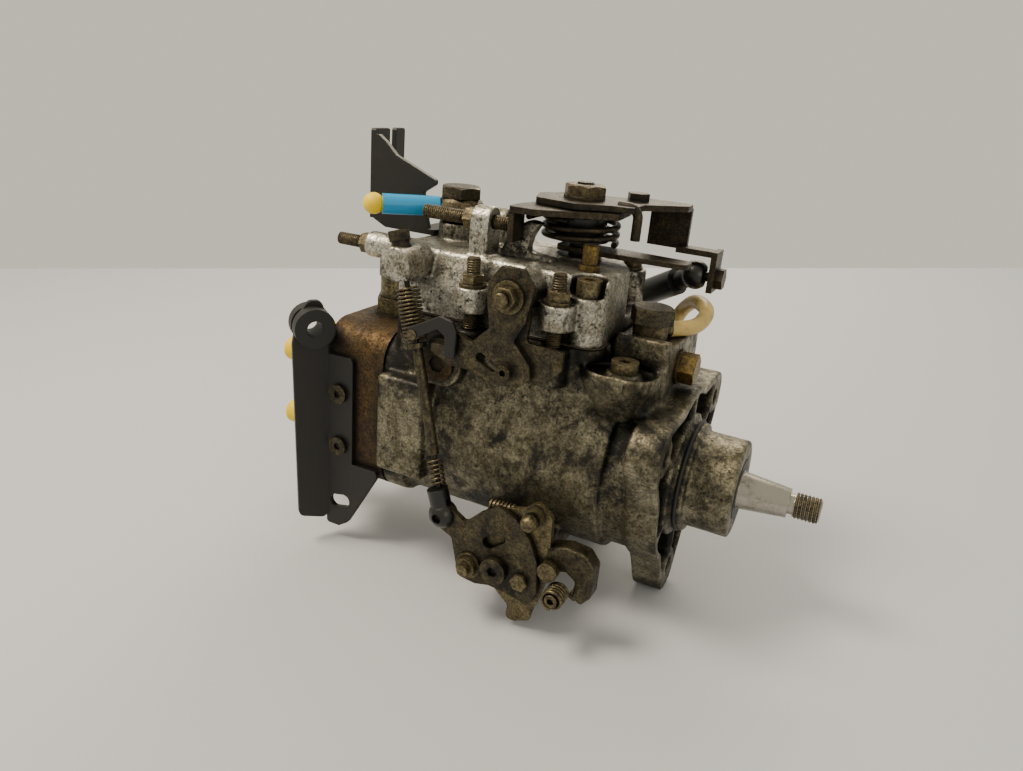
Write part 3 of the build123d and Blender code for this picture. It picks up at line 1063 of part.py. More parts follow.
with BuildPart() as cable_adjuster:
    bottom = rod_line.offset(rod_way.length * 0.93)
    rod(bottom, ADJUSTER_RADIUS, 18)
    hexagon(bottom.offset(18), 10, 5)
    rod(bottom, ADJUSTER_BORE, 24, mode=Mode.SUBTRACT)
save(cable_adjuster, "cable_adjuster")

# ================================================================ brackets
BRACKET_X = -194.5
with BuildPart() as cable_bracket:
    plate(near(-2), [(BRACKET_X - 1, 151), (BRACKET_X - 1, 104), (-187, 100), (-158, 100), (-163, 122),
                     (-153, 128.5), (-181, 139.5), (-188, 146)], 3, 2)
    block((BRACKET_X - 3, BRACKET_X), (-5, 23), (104, 152))
    plate(up(COVER_TOP), [(-166, -5), (-154.5, -5), (-154.5, 18), (-140, 22), (-140, 40), (-157, 40),
                          (-166, 30)], 3, 2)
    block((BRACKET_X - 4, BRACKET_X + 1), (8.5, 14.5), (136, 153), mode=Mode.SUBTRACT)
    fillet(cable_bracket.edges().filter_by(Axis.X).group_by(Axis.Z)[-1], 1.5)
    rod(up(COVER_TOP, *cover_screw_spots[2]), M6 + SEAT, 3, mode=Mode.SUBTRACT)
save(cable_bracket, "cable_bracket")

FOLD = (-195.0, -45.0)
wing = Plane(origin=(*FOLD, 0), x_dir=(cos(radians(233)), sin(radians(233)), 0),
             z_dir=(sin(radians(233)), -cos(radians(233)), 0))
EYE_BORE = 8.0
with BuildPart() as rear_bracket:
    # flange on the head, wing with the eye, lower foot
    plate(near(CLAMP_Y), [(-196, 34), (-178, 34), (-178, -36), (-196, -36)], 3, 3)
    with BuildSketch(wing) as outline:
        with BuildLine():
            FilletPolyline((-0.5, -70), (17, -66), (19, 40), (16, 56), (10, 64), (3, 64), (-0.5, 50),
                           radius=4, close=True)
        make_face()
    extrude(outline.sketch, amount=3)
    plate(near(CLAMP_Y), [(-196, -30), (-161, -30), (-161, -34), (-181, -69), (-187, -73), (-196, -73)], 3, 2)
    with BuildSketch(wing) as eye:
        with Locations((8, 50)):
            Circle(EYE_BORE)
    extrude(eye.sketch, amount=-4, both=True, mode=Mode.SUBTRACT)
    for z in CLAMP_ZS:
        rod(near(CLAMP_Y, HEAD_FACE + 11, z), M6 + SEAT, 3, mode=Mode.SUBTRACT)
    with BuildSketch(near(CLAMP_Y)) as long_hole:
        with Locations((-186.5, -56)):
            SlotOverall(14, 8, rotation=12)
    extrude(long_hole.sketch, amount=3, mode=Mode.SUBTRACT)
save(rear_bracket, "rear_bracket")

with BuildPart() as bracket_bush:
    centre = Plane(origin=wing.from_local_coords((8, 50, 0)), z_dir=wing.z_dir)
    rod(centre, EYE_BORE - SEAT, 3)
    rod(centre.offset(3), 11, 7)
    rod(centre, 11, -7)
    rod(centre.offset(-7), M8 + 0.5, 18, mode=Mode.SUBTRACT)
save(bracket_bush, "bracket_bush")

with BuildPart() as bracket_screws:
    for z in CLAMP_ZS:
        socket_screw(near(CLAMP_Y - 3, HEAD_FACE + 11, z), M6, 5.6, 2.2, 13, 4)
    # shouldered screw that the cold-start lever turns on
    pivot_head = near(COLD_LEVER_FRONT - GAP, *COLD_PIVOT)
    rod(pivot_head, 7, 3.5)
    rod(pivot_head, M8, COLD_LEVER_FRONT - GAP - COLD_FACE - 10)
    hexagon(pivot_head.offset(1.5), 5, 3, mode=Mode.SUBTRACT)
save(bracket_screws, "bracket_screws")
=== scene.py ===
# %% [markdown]
# # A distributor injection pump, dressed in its real finishes
# The pump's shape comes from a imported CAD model.  Here each casting, screw and lever gets the
# finish that years beside an engine leave on it, and the shapes that CAD keeps plain, such as
# threads and rounded casting edges, are modelled on top.

import math
import bmesh
import bpy
from mathutils import Matrix, Vector, noise


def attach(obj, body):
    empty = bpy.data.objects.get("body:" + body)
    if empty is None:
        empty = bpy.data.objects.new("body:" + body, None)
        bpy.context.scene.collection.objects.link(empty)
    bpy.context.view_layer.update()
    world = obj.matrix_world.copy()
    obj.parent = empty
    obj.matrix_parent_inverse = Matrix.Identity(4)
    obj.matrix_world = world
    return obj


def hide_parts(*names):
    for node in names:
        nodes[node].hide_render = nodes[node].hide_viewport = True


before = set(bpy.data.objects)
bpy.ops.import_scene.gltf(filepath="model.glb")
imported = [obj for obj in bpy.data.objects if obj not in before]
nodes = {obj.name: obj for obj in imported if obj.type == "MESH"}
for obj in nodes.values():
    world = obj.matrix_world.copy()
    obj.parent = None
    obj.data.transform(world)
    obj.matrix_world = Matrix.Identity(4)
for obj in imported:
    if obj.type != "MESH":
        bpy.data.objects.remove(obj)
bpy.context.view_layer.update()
MM = 0.001

# %% [markdown]
# ## Camera
# The pump is seen from its near front corner, a little above, through a short lens.  A camera can
# be aimed with a constraint, but here its place and its two directions are measured in the pump's
# own frame, so the view stays right however the pump is packed.

# %% Camera
CAMERA_PLACE = Vector((0.0697, -0.3683, 0.1796))
CAMERA_AHEAD = Vector((-0.396, 0.8455, -0.358)).normalized()
CAMERA_UP = Vector((-0.230, 0.286, 0.930))
LENS_MM = 27.45
NEAREST = 0.01

camera = bpy.data.objects.new("camera", bpy.data.cameras.new("camera"))
bpy.context.scene.collection.objects.link(camera)
right = CAMERA_AHEAD.cross(CAMERA_UP).normalized()
true_up = right.cross(CAMERA_AHEAD)
turn = Matrix((right, true_up, -CAMERA_AHEAD)).transposed().to_4x4()
camera.matrix_world = Matrix.Translation(CAMERA_PLACE) @ turn
camera.data.lens = LENS_MM
camera.data.clip_start = NEAREST
bpy.context.scene.camera = camera
print("camera has a lens of", LENS_MM, "mm and stands at", CAMERA_PLACE[:])

# %% [markdown]
# ## Colours and nodes
# Colours are picked as sRGB hex values, the way a paint chart gives them, but a renderer adds up
# light, so each one is turned to linear first.  One helper adds a shader node, sets it and links
# it, which keeps a material readable from its first line to its last.

# %% Helpers for colours and nodes
def linear(hex_colour):
    """Linear RGBA of an sRGB hex colour."""
    channels = [int(hex_colour[i:i + 2], 16) / 255 for i in (1, 3, 5)]
    return [c / 12.92 if c <= 0.04045 else ((c + 0.055) / 1.055) ** 2.4 for c in channels] + [1.0]


def add_node(tree, kind, inputs=None, **settings):
    """Adds a shader node; an input is a value, a hex colour, or the output that feeds it."""
    made = tree.nodes.new("ShaderNode" + kind)
    for key, value in settings.items():
        setattr(made, key, value)
    for socket, value in (inputs or {}).items():
        if isinstance(value, bpy.types.NodeSocket):
            tree.links.new(value, made.inputs[socket])
        else:
            made.inputs[socket].default_value = linear(value) if isinstance(value, str) else value
    return made


def per_metre(size_mm):
    """Texture scale whose features are this many millimetres wide."""
    return 1 / (size_mm * MM)


def new_material(name):
    """Empty material: its tree, its Principled shader and its object coordinates."""
    material = bpy.data.materials.new(name)
    material.use_nodes = True
    tree = material.node_tree
    tree.nodes.clear()
    shader = add_node(tree, "BsdfPrincipled")
    add_node(tree, "OutputMaterial", {"Surface": shader.outputs["BSDF"]})
    place = add_node(tree, "TexCoord").outputs["Object"]
    return material, tree, shader, place


print("oily film is", [round(c, 3) for c in linear("#433d29")[:3]], "in linear light")

# %% [markdown]
# ## Blotches and soft edges
# Dirt lies in blotches of many sizes at once, and no edge on a worn pump is sharp.  The dirt could
# be painted on by hand, but noise is quicker and stays crisp from near by, and a Bevel node rounds
# an edge in the light without adding a face to the mesh.

# %% Helpers for surfaces
def patches(tree, place, size_mm, low, high, seed, distortion=0.0):
    """Mask of blotches about size_mm wide: 0 below the noise value low, 1 above high."""
    moved = add_node(tree, "Mapping", {"Vector": place, "Location": (seed, seed * 0.7, seed * 0.3)})
    cloud = add_node(tree, "TexNoise", {"Vector": moved.outputs["Vector"], "Scale": per_metre(size_mm),
                                        "Detail": 9.0, "Roughness": 0.72, "Distortion": distortion})
    return add_node(tree, "MapRange", {"Value": cloud.outputs["Fac"], "From Min": low, "From Max": high},
                    interpolation_type="SMOOTHSTEP").outputs["Result"]


CAKE_MM = 0.12


def soft_edges(tree, shader, place, bevel_mm, grain_mm, depth_mm, caked=None):
    """Normal of a surface with rounded edges, a fine grain, and dirt that stands on it."""
    rounded = add_node(tree, "Bevel", {"Radius": bevel_mm * MM}, samples=6)
    grain = add_node(tree, "TexNoise", {"Vector": place, "Scale": per_metre(grain_mm), "Detail": 3.0})
    bump = add_node(tree, "Bump", {"Height": grain.outputs["Fac"], "Distance": depth_mm * MM,
                                   "Strength": 0.8, "Normal": rounded.outputs["Normal"]})
    if caked:
        bump = add_node(tree, "Bump", {"Height": caked, "Distance": CAKE_MM * MM, "Strength": 0.6,
                                       "Normal": bump.outputs["Normal"]})
    tree.links.new(bump.outputs["Normal"], shader.inputs["Normal"])


print("dirt stands", CAKE_MM, "mm proud")

# %% [markdown]
# ## Metal under oil and soot
# The housing and the cover are die-cast aluminium: a bright grey skin with a fine orange-peel
# grain.  Beside a hot engine it takes a brown oil film, and the inner corners are darker, where dirt
# collects and where shade is painted in too, while edges that hands and tools rub stay bare.  One flat
# brown would look like paint, so each worn metal is a stack of three layers, bare metal, oil film and
# caked soot that also carries painted shade, with masks from noise, from edges and from how little
# open sky the surface sees, which paints shade into hollows.

# %% Where edges are rubbed bare
EDGE_STARTS, EDGE_FULL = 0.995, 0.93


def rubbed_edges(tree, place, patch_mm, bevel_mm, seed):
    """Mask of bare edges: there a rounded normal leans away from the true one."""
    wide = add_node(tree, "Bevel", {"Radius": bevel_mm * 1.6 * MM}, samples=4)
    flat = add_node(tree, "NewGeometry")
    lean = add_node(tree, "VectorMath", {0: wide.outputs["Normal"], 1: flat.outputs["Normal"]},
                    operation="DOT_PRODUCT")
    edge = add_node(tree, "MapRange", {"Value": lean.outputs["Value"], "From Min": EDGE_STARTS,
                                       "From Max": EDGE_FULL})
    touched = patches(tree, place, patch_mm * 0.4, 0.42, 0.6, seed + 5.0)
    return add_node(tree, "Math", {0: edge.outputs["Result"], 1: touched}, operation="MULTIPLY").outputs[0]


print("edges wear through where their normals lean more than",
      round(math.degrees(math.acos(EDGE_STARTS))), "degrees")

# %% Where soot is caked and shade is painted
PIT_MM = 3.0
SKY_STARTS, SKY_FULL = 0.95, 0.45


def soot_and_painted_shade(tree, place, soot_low, pit_low, patch_mm, shade_reach_mm, seed):
    """Mask of soot and painted shade: shade in inner corners, soot there too and in smears, small pits and
    large spills.
    """
    # painted shade: the less open sky a point sees, the darker it is painted, as shade and as dirt that stays
    # there
    open_sky = add_node(tree, "AmbientOcclusion", {"Distance": shade_reach_mm * MM}, samples=6)
    hollow_shade = add_node(tree, "MapRange", {"Value": open_sky.outputs["AO"], "From Min": SKY_STARTS,
                                         "From Max": SKY_FULL})
    smear = patches(tree, place, patch_mm * 0.6, soot_low, soot_low + 0.16, seed + 7.0, 0.4)
    pits = patches(tree, place, PIT_MM, pit_low - 0.03, pit_low + 0.08, seed + 13.0, 0.2)
    spills = patches(tree, place, patch_mm * 2.2, soot_low + 0.02, soot_low + 0.14, seed + 17.0, 0.3)
    spots = add_node(tree, "Math", {0: smear, 1: pits}, operation="MAXIMUM")
    marks = add_node(tree, "Math", {0: spots.outputs[0], 1: spills}, operation="MAXIMUM")
    return add_node(tree, "Math", {0: hollow_shade.outputs["Result"], 1: marks.outputs[0]}, operation="ADD",
                    use_clamp=True).outputs[0]


print("pits of dirt are about", PIT_MM, "mm wide")

# %% Worn metal
# grit in the dirt is finer than a millimetre; these grains are coarser than that, so that they show
GRIT_MM = 1.3
RUST_LOW, RUST_HIGH = 0.56, 0.66
DIRTY_METALLIC = 0.45


def worn_metal(name, bare, film, soot_and_shade, film_low, soot_low, roughness, grain_mm, depth_mm, patch_mm,
               bevel_mm, shade_reach_mm, seed, rust=None, pit_low=0.60):
    """Metal with an oil film, soot, pits and painted shade in its hollows; a lower film_low, soot_low or
    pit_low means more of it.
    """
    material, tree, shader, place = new_material(name)
    speckle = patches(tree, place, patch_mm * 0.16, 0.42, 0.62, seed + 3.0)
    thin = add_node(tree, "MapRange", {"Value": speckle, "To Min": 0.6, "To Max": 1.0})
    blotch = patches(tree, place, patch_mm, film_low, film_low + 0.20, seed, 0.2)
    film_area = add_node(tree, "Math", {0: blotch, 1: thin.outputs["Result"]}, operation="MULTIPLY")
    film_mask = add_node(tree, "Math", {0: film_area.outputs[0],
                                        1: rubbed_edges(tree, place, patch_mm, bevel_mm, seed)},
                         operation="SUBTRACT", use_clamp=True).outputs[0]
    soot_and_shade_mask = soot_and_painted_shade(tree, place, soot_low, pit_low, patch_mm, shade_reach_mm, seed)
    colour = add_node(tree, "Mix", {0: film_mask, 6: bare, 7: film}, data_type="RGBA")
    if rust:
        rust_mask = patches(tree, place, patch_mm * 0.5, RUST_LOW, RUST_HIGH, seed + 11.0)
        colour = add_node(tree, "Mix", {0: rust_mask, 6: colour.outputs[2], 7: rust}, data_type="RGBA")
    # the soot colour also paints shade into the hollows, where the mask is made from how little open sky a
    # point sees
    colour = add_node(tree, "Mix", {0: soot_and_shade_mask, 6: colour.outputs[2], 7: soot_and_shade}, data_type="RGBA")
    grit = add_node(tree, "TexNoise", {"Vector": place, "Scale": per_metre(GRIT_MM), "Detail": 4.0,
                                       "Roughness": 0.7})
    shade = add_node(tree, "MapRange", {"Value": grit.outputs["Fac"], "From Min": 0.36, "From Max": 0.66,
                                        "To Min": 0.45, "To Max": 1.5})
    colour = add_node(tree, "Mix", {0: 1.0, 6: colour.outputs[2], 7: shade.outputs["Result"]},
                      data_type="RGBA", blend_type="MULTIPLY")
    tree.links.new(colour.outputs[2], shader.inputs["Base Color"])
    # the painted shade in hollows dulls the metal as the oil and soot do
    dirt_and_shade = add_node(tree, "Math", {0: film_mask, 1: soot_and_shade_mask}, operation="MAXIMUM")
    metallic = add_node(tree, "MapRange", {"Value": dirt_and_shade.outputs[0], "To Min": 1.0,
                                           "To Max": DIRTY_METALLIC})
    tree.links.new(metallic.outputs["Result"], shader.inputs["Metallic"])
    gloss = add_node(tree, "MapRange", {"Value": speckle, "To Min": roughness, "To Max": roughness + 0.18})
    tree.links.new(gloss.outputs["Result"], shader.inputs["Roughness"])
    soft_edges(tree, shader, place, bevel_mm, grain_mm, depth_mm, soot_and_shade_mask)
    return material


print("grit is", GRIT_MM, "mm wide")

# %% Castings
# die-cast aluminium, never machined on its sides: dull, lumpy grain under a nearly whole oil film
housing_casting = worn_metal("cast_aluminium_oily", "#a09a84", "#433d29", "#0e0c08", film_low=0.32,
                             soot_low=0.49, roughness=0.40, grain_mm=1.3, depth_mm=0.35, patch_mm=28.0,
                             bevel_mm=0.9, shade_reach_mm=16.0, seed=1.0, pit_low=0.58)
# the same metal wiped clean now and then: silvery, with dark specks left in its pores
cover_casting = worn_metal("cast_aluminium_cover", "#bab7ac", "#6b6550", "#15120c", film_low=0.43,
                           soot_low=0.54, roughness=0.34, grain_mm=1.2, depth_mm=0.28, patch_mm=15.0,
                           bevel_mm=0.8, shade_reach_mm=10.0, seed=5.0, pit_low=0.56)
# forged and milled steel: an even brown skin of old oil and light rust, flatter than a casting
head_steel = worn_metal("forged_steel_brown", "#584832", "#33271a", "#130f0a", film_low=0.36,
                        soot_low=0.55, roughness=0.55, grain_mm=1.4, depth_mm=0.15, patch_mm=22.0,
                        bevel_mm=0.6, shade_reach_mm=9.0, seed=9.0)
print("castings:", housing_casting.name, cover_casting.name, head_steel.name)

# %% [markdown]
# ## Plated and plain steel
# Screws and levers are pressed or turned steel, some zinc plated and yellow passivated.  The
# plating has gone dull olive under oil, with bare grey on the corners that a spanner has touched
# and specks of rust where it is through.  The stack that dirties the castings serves here too,
# with smaller blotches, since the pieces are smaller.

# %% Fasteners and levers
RUST = "#40301c"
# zinc plating, yellow passivated: smooth and olive, with rust on the hexagons' corners
zinc_fastener = worn_metal("zinc_passivated_steel", "#7d7458", "#453c26", "#15110b", film_low=0.38,
                           soot_low=0.55, roughness=0.38, grain_mm=0.8, depth_mm=0.06, patch_mm=6.0,
                           bevel_mm=0.25, shade_reach_mm=3.5, seed=13.0, rust=RUST)
# pressed sheet steel: a flat face, edges rounded by the die, blotched dark by old oil
lever_steel = worn_metal("pressed_steel_lever", "#5c5643", "#292318", "#0f0c08", film_low=0.35,
                         soot_low=0.52, roughness=0.36, grain_mm=0.9, depth_mm=0.10, patch_mm=9.0,
                         bevel_mm=0.3, shade_reach_mm=5.0, seed=17.0, rust=RUST)
# plain steel soaked in oil: nearly black, and glossy where the film is thick
dark_steel = worn_metal("oiled_steel_dark", "#4e4636", "#1e1810", "#0b0906", film_low=0.33,
                        soot_low=0.51, roughness=0.34, grain_mm=0.9, depth_mm=0.10, patch_mm=8.0,
                        bevel_mm=0.4, shade_reach_mm=5.0, seed=21.0)
# rolled screw stock: grey crests that catch light, brown between them
stud_steel = worn_metal("stained_stud_steel", "#746a52", "#3a301f", "#120e09", film_low=0.38,
                        soot_low=0.55, roughness=0.38, grain_mm=0.7, depth_mm=0.06, patch_mm=6.0,
                        bevel_mm=0.2, shade_reach_mm=3.0, seed=23.0, rust=RUST)
print("steels:", zinc_fastener.name, lever_steel.name, dark_steel.name, stud_steel.name)

# %% Metals with little dirt
# hardened and ground steel runs in clean fuel inside, so it stays bright
inner_steel = worn_metal("hardened_steel", "#b4b2ac", "#8f8b80", "#3a352c", film_low=0.6, soot_low=0.7,
                         roughness=0.25, grain_mm=0.4, depth_mm=0.01, patch_mm=10.0, bevel_mm=0.2,
                         shade_reach_mm=3.0, seed=25.0, pit_low=0.75)
# machined brass goes dull and brown, but its corners still show yellow
brass = worn_metal("brass_dull", "#7d6a3c", "#4a3a20", "#18120b", film_low=0.40, soot_low=0.60,
                   roughness=0.36, grain_mm=0.6, depth_mm=0.02, patch_mm=7.0, bevel_mm=0.25,
                   shade_reach_mm=3.0, seed=29.0)
print("cleaner metals:", inner_steel.name, brass.name)

# %% [markdown]
# ## Turned and ground surfaces
# The shaft's taper is ground steel, the brightest thing on the pump, and the timing piston is
# turned aluminium.  The rings that the tool leaves follow X.  Cutting them into the mesh would
# take thousands of faces, so they come from a wave texture along that axis.  Real rings are too
# fine to show, so they are drawn a little under a millimetre apart.

# %% Turned metal
def turned_metal(name, bare, stain, ring_mm, depth_mm, roughness, stain_low, seed):
    """Metal turned or ground about X, with tool rings ring_mm apart and a brown stain."""
    material, tree, shader, place = new_material(name)
    mask = patches(tree, place, 9.0, stain_low, stain_low + 0.25, seed)
    colour = add_node(tree, "Mix", {0: mask, 6: bare, 7: stain}, data_type="RGBA")
    tree.links.new(colour.outputs[2], shader.inputs["Base Color"])
    shader.inputs["Metallic"].default_value = 1.0
    gloss = add_node(tree, "MapRange", {"Value": mask, "To Min": roughness, "To Max": roughness + 0.2})
    tree.links.new(gloss.outputs["Result"], shader.inputs["Roughness"])
    # a wave texture has one band per 0.1 pi of its scaled length
    tool_rings = add_node(tree, "TexWave", {"Vector": place, "Scale": per_metre(ring_mm) * math.pi / 10,
                                            "Distortion": 1.5, "Detail": 2.0}, bands_direction="X")
    rounded = add_node(tree, "Bevel", {"Radius": 0.3 * MM}, samples=6)
    bump = add_node(tree, "Bump", {"Height": tool_rings.outputs["Fac"], "Distance": depth_mm * MM,
                                   "Strength": 0.5, "Normal": rounded.outputs["Normal"]})
    tree.links.new(bump.outputs["Normal"], shader.inputs["Normal"])
    return material


# a grinding wheel leaves hair-fine rings and the smoothest gloss here, under a thin brown stain
ground_shaft = turned_metal("ground_steel", "#a5a197", "#5a5243", ring_mm=0.8, depth_mm=0.012,
                            roughness=0.24, stain_low=0.50, seed=31.0)
# a lathe tool leaves clearer rings on soft aluminium, which stays pale
turned_aluminium = turned_metal("turned_aluminium", "#b9b4a6", "#8b8370", ring_mm=0.8, depth_mm=0.01,
                                roughness=0.3, stain_low=0.5, seed=33.0)
print("turned metals:", ground_shaft.name, turned_aluminium.name)

# %% [markdown]
# ## Paint, plastics and rubber
# The two big brackets wear satin black paint with dust on it.  The outlet caps are soft
# polyethylene, the sleeve on the return pipe is a blue vinyl tube, and the hose is a tan
# translucent fuel line.  None of them is a metal, so their colour comes from below a clear skin.
# One recipe does for all: two colours in blotches, and a gloss that the stain dulls.

# %% Moulded
def moulded(name, colour, stain, roughness, patch_mm, mask_low, grain_mm, depth_mm, bevel_mm, seed, soft=0.0):
    """Plastic, paint or rubber of one colour, stained with a second."""
    material, tree, shader, place = new_material(name)
    mask = patches(tree, place, patch_mm, mask_low, mask_low + 0.25, seed)
    mixed = add_node(tree, "Mix", {0: mask, 6: colour, 7: stain}, data_type="RGBA")
    tree.links.new(mixed.outputs[2], shader.inputs["Base Color"])
    gloss = add_node(tree, "MapRange", {"Value": mask, "To Min": roughness,
                                        "To Max": min(roughness + 0.2, 0.95)})
    tree.links.new(gloss.outputs["Result"], shader.inputs["Roughness"])
    shader.inputs["Subsurface Weight"].default_value = soft
    shader.inputs["Subsurface Scale"].default_value = 2 * MM
    soft_edges(tree, shader, place, bevel_mm, grain_mm, depth_mm)
    return material


# sprayed paint: satin, a little thick at the edges, brown where dust lies
black_paint = moulded("satin_black_paint", "#0d0b09", "#2a2116", roughness=0.50, patch_mm=14.0,
                      mask_low=0.55, grain_mm=0.8, depth_mm=0.02, bevel_mm=0.6, seed=37.0)
# moulded nylon copies its polished mould, so it gleams in one clean streak
black_plastic = moulded("nylon_black", "#0e0e0f", "#241f18", roughness=0.32, patch_mm=9.0,
                        mask_low=0.56, grain_mm=0.8, depth_mm=0.02, bevel_mm=0.5, seed=39.0)
# moulded polyethylene is waxy: a strong colour with a broad, weak highlight
yellow_cap = moulded("polyethylene_yellow", "#f0cc00", "#c9a600", roughness=0.50, patch_mm=12.0,
                     mask_low=0.6, grain_mm=1.5, depth_mm=0.01, bevel_mm=0.4, seed=41.0)
# extruded vinyl has a smooth skin that shines along the tube
blue_sleeve = moulded("vinyl_blue", "#1590c8", "#10689a", roughness=0.36, patch_mm=9.0,
                      mask_low=0.58, grain_mm=1.2, depth_mm=0.02, bevel_mm=0.3, seed=43.0)
print("painted and moulded:", black_paint.name, black_plastic.name, yellow_cap.name, blue_sleeve.name)

# %% Hose, rubber and gasket
# extruded fuel hose lets some light in, so its shaded side glows a little
tan_hose = moulded("fuel_hose_tan", "#bfa765", "#8a7440", roughness=0.40, patch_mm=10.0, mask_low=0.5,
                   grain_mm=1.5, depth_mm=0.02, bevel_mm=0.3, seed=47.0, soft=0.15)
# cured rubber soaks up light and shows only a soft sheen on its rounded edges
black_rubber = moulded("rubber_black", "#141414", "#2b2824", roughness=0.55, patch_mm=8.0,
                       mask_low=0.55, grain_mm=0.6, depth_mm=0.02, bevel_mm=0.8, seed=51.0)
# pressed fibre is matt and slightly furry, and oil darkens it
gasket = moulded("gasket_fibre", "#3a3226", "#1d1812", roughness=0.8, patch_mm=5.0, mask_low=0.5,
                 grain_mm=0.4, depth_mm=0.03, bevel_mm=0.2, seed=53.0)
print("soft materials:", tan_hose.name, black_rubber.name, gasket.name)

# %% [markdown]
# ## Which piece wears which finish
# Every CAD node is one kind of piece made in one way, so it gets one finish.  The list could sit
# beside each node, but grouped by finish it shows at a glance what a change of one material does.

# %% Finishes
finishes = {
    housing_casting: ["pump_housing", "timing_covers"],
    cover_casting: ["governor_cover"],
    head_steel: ["distributor_head", "delivery_valve_holders", "steel_plugs"],
    zinc_fastener: ["head_bolts", "shut_off_solenoid", "m6_nuts", "cover_screws", "timing_cover_screws",
                    "side_lever_nut", "cold_start_bracket", "cold_start_fasteners", "cold_start_spring"],
    stud_steel: ["adjusting_screws", "cover_studs", "throttle_nut", "return_banjo", "inlet_banjo",
                 "rod_springs"],
    lever_steel: ["banjo_bolts", "bracket_screws", "side_levers", "cold_start_lever", "cable_adjuster",
                  "control_rod"],
    dark_steel: ["throttle_shaft", "throttle_levers", "throttle_arm", "throttle_spring"],
    black_plastic: ["link_rod", "rod_clevis"],
    inner_steel: ["vane_pump_ring", "vane_pump_plate", "governor_pin", "vane_rotor", "pump_vanes",
                  "drive_gear", "cam_plate", "plunger", "roller_ring", "cam_rollers", "governor_cage",
                  "flyweights", "governor_sleeve", "governor_lever", "control_sleeve"],
    ground_shaft: ["drive_shaft"],
    turned_aluminium: ["timing_piston"],
    brass: ["brass_fittings", "shaft_bush"],
    # the rear bracket's black paint is partly painted shade: its flange and foot cover the head's near side
    # where the head lies in shade
    black_paint: ["cable_bracket", "rear_bracket"],
    yellow_cap: ["outlet_caps"],
    blue_sleeve: ["pipe_sleeve"],
    tan_hose: ["return_hose"],
    black_rubber: ["bracket_bush", "shaft_seal"],
    gasket: ["cover_gasket"],
}
for material, names in finishes.items():
    for name in names:
        nodes[name].data.materials.clear()
        nodes[name].data.materials.append(material)
print("finished", sum(len(names) for names in finishes.values()), "nodes")

# %% [markdown]
# ## Castings with rounded edges
# A die can't cast a sharp edge, and CAD's edges are sharp.  Bevelling every edge of a casting with
# this many bores fails where short edges meet, so the shell is rebuilt in small even cells, which
# rounds edges and inner corners by about one cell, then relaxed and given the faint waviness of
# cast metal.  The bores inside are filled first, since nobody sees them and cells cost memory.

# %% Fill a casting's bores
BAR_SIDES = 48


def filled_copy(name, fillers):
    """Merged copy of a CAD node, joined with closed round bars: (start, end, radius) in millimetres."""
    shape = bmesh.new()
    shape.from_mesh(nodes[name].data)
    bmesh.ops.remove_doubles(shape, verts=shape.verts, dist=1e-6)
    for start, end, radius in fillers:
        way = Vector(end) - Vector(start)
        lay = way.to_track_quat("Z", "Y").to_matrix().to_4x4()
        lay.translation = (Vector(start) + Vector(end)) / 2 * MM
        bmesh.ops.create_cone(shape, cap_ends=True, segments=BAR_SIDES, radius1=radius * MM,
                              radius2=radius * MM, depth=way.length * MM, matrix=lay)
    return shape


# inside, bars fill the barrel and the governor room; outside, they thicken the ear by the inlet
# block and join it to the barrel
BORE_BARS = [((-159.5, 0, 0), (-21, 0, 0), 36.0),
             ((-150, 0, 44), (-40, 0, 44), 20.0)]
EAR_BARS = [((-46, -30, 46), (-15, -30, 46), 10.0),
            ((-42, -34, 50), (-20, -34, 50), 7.0)]
print(len(BORE_BARS), "bars fill bores and", len(EAR_BARS), "thicken the ear")

# %% Rebuild a casting
def cast(name, cell_mm, relax, wave_mm, wave_depth_mm, fillers, material, body="root"):
    """Rounded, slightly wavy casting in place of a CAD node."""
    shape = filled_copy(name, fillers)
    mesh = bpy.data.meshes.new(name + "_cast")
    shape.to_mesh(mesh)
    shape.free()
    piece = bpy.data.objects.new(name + "_cast", mesh)
    bpy.context.scene.collection.objects.link(piece)
    cells = piece.modifiers.new("cells", "REMESH")
    cells.mode, cells.voxel_size, cells.use_smooth_shade = "VOXEL", cell_mm * MM, True
    rounded = bpy.data.meshes.new_from_object(piece.evaluated_get(bpy.context.evaluated_depsgraph_get()))
    piece.modifiers.clear()
    piece.data = rounded
    shape = bmesh.new()
    shape.from_mesh(rounded)
    for _ in range(relax):
        bmesh.ops.smooth_vert(shape, verts=shape.verts, factor=0.5, use_axis_x=True, use_axis_y=True,
                              use_axis_z=True)
    for vert in shape.verts:
        lift = noise.fractal(vert.co * per_metre(wave_mm), 0.8, 2.0, 3)
        vert.co += vert.normal * lift * wave_depth_mm * MM
    for face in shape.faces:
        face.smooth = True
    shape.to_mesh(rounded)
    shape.free()
    rounded.materials.clear()
    rounded.materials.append(material)
    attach(piece, body)
    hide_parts(name)
    print(piece.name, "has", 2 * len(rounded.polygons), "triangles")


cast("pump_housing", 1.27, 2, 7.0, 0.10, BORE_BARS + EAR_BARS, housing_casting)
cast("governor_cover", 0.8, 2, 6.0, 0.08, [], cover_casting)

# %% [markdown]
# ## Screw threads
# A rolled thread is a ridge that climbs one pitch per turn.  A bump could shade it, but the
# screw's outline would stay smooth, so one pitch of its outline is spun about the screw's axis
# while it climbs.  That gives the same helix that the rolling dies press into the blank, and the
# ends are cut square like a real screw's.  The CAD screws are plain cylinders, and each ridge
# stands on one of them.

# %% Place a finished piece
ALONG_X, TO_NEAR_SIDE, TO_FAR_SIDE, UP = (1, 0, 0), (0, -1, 0), (0, 1, 0), (0, 0, 1)


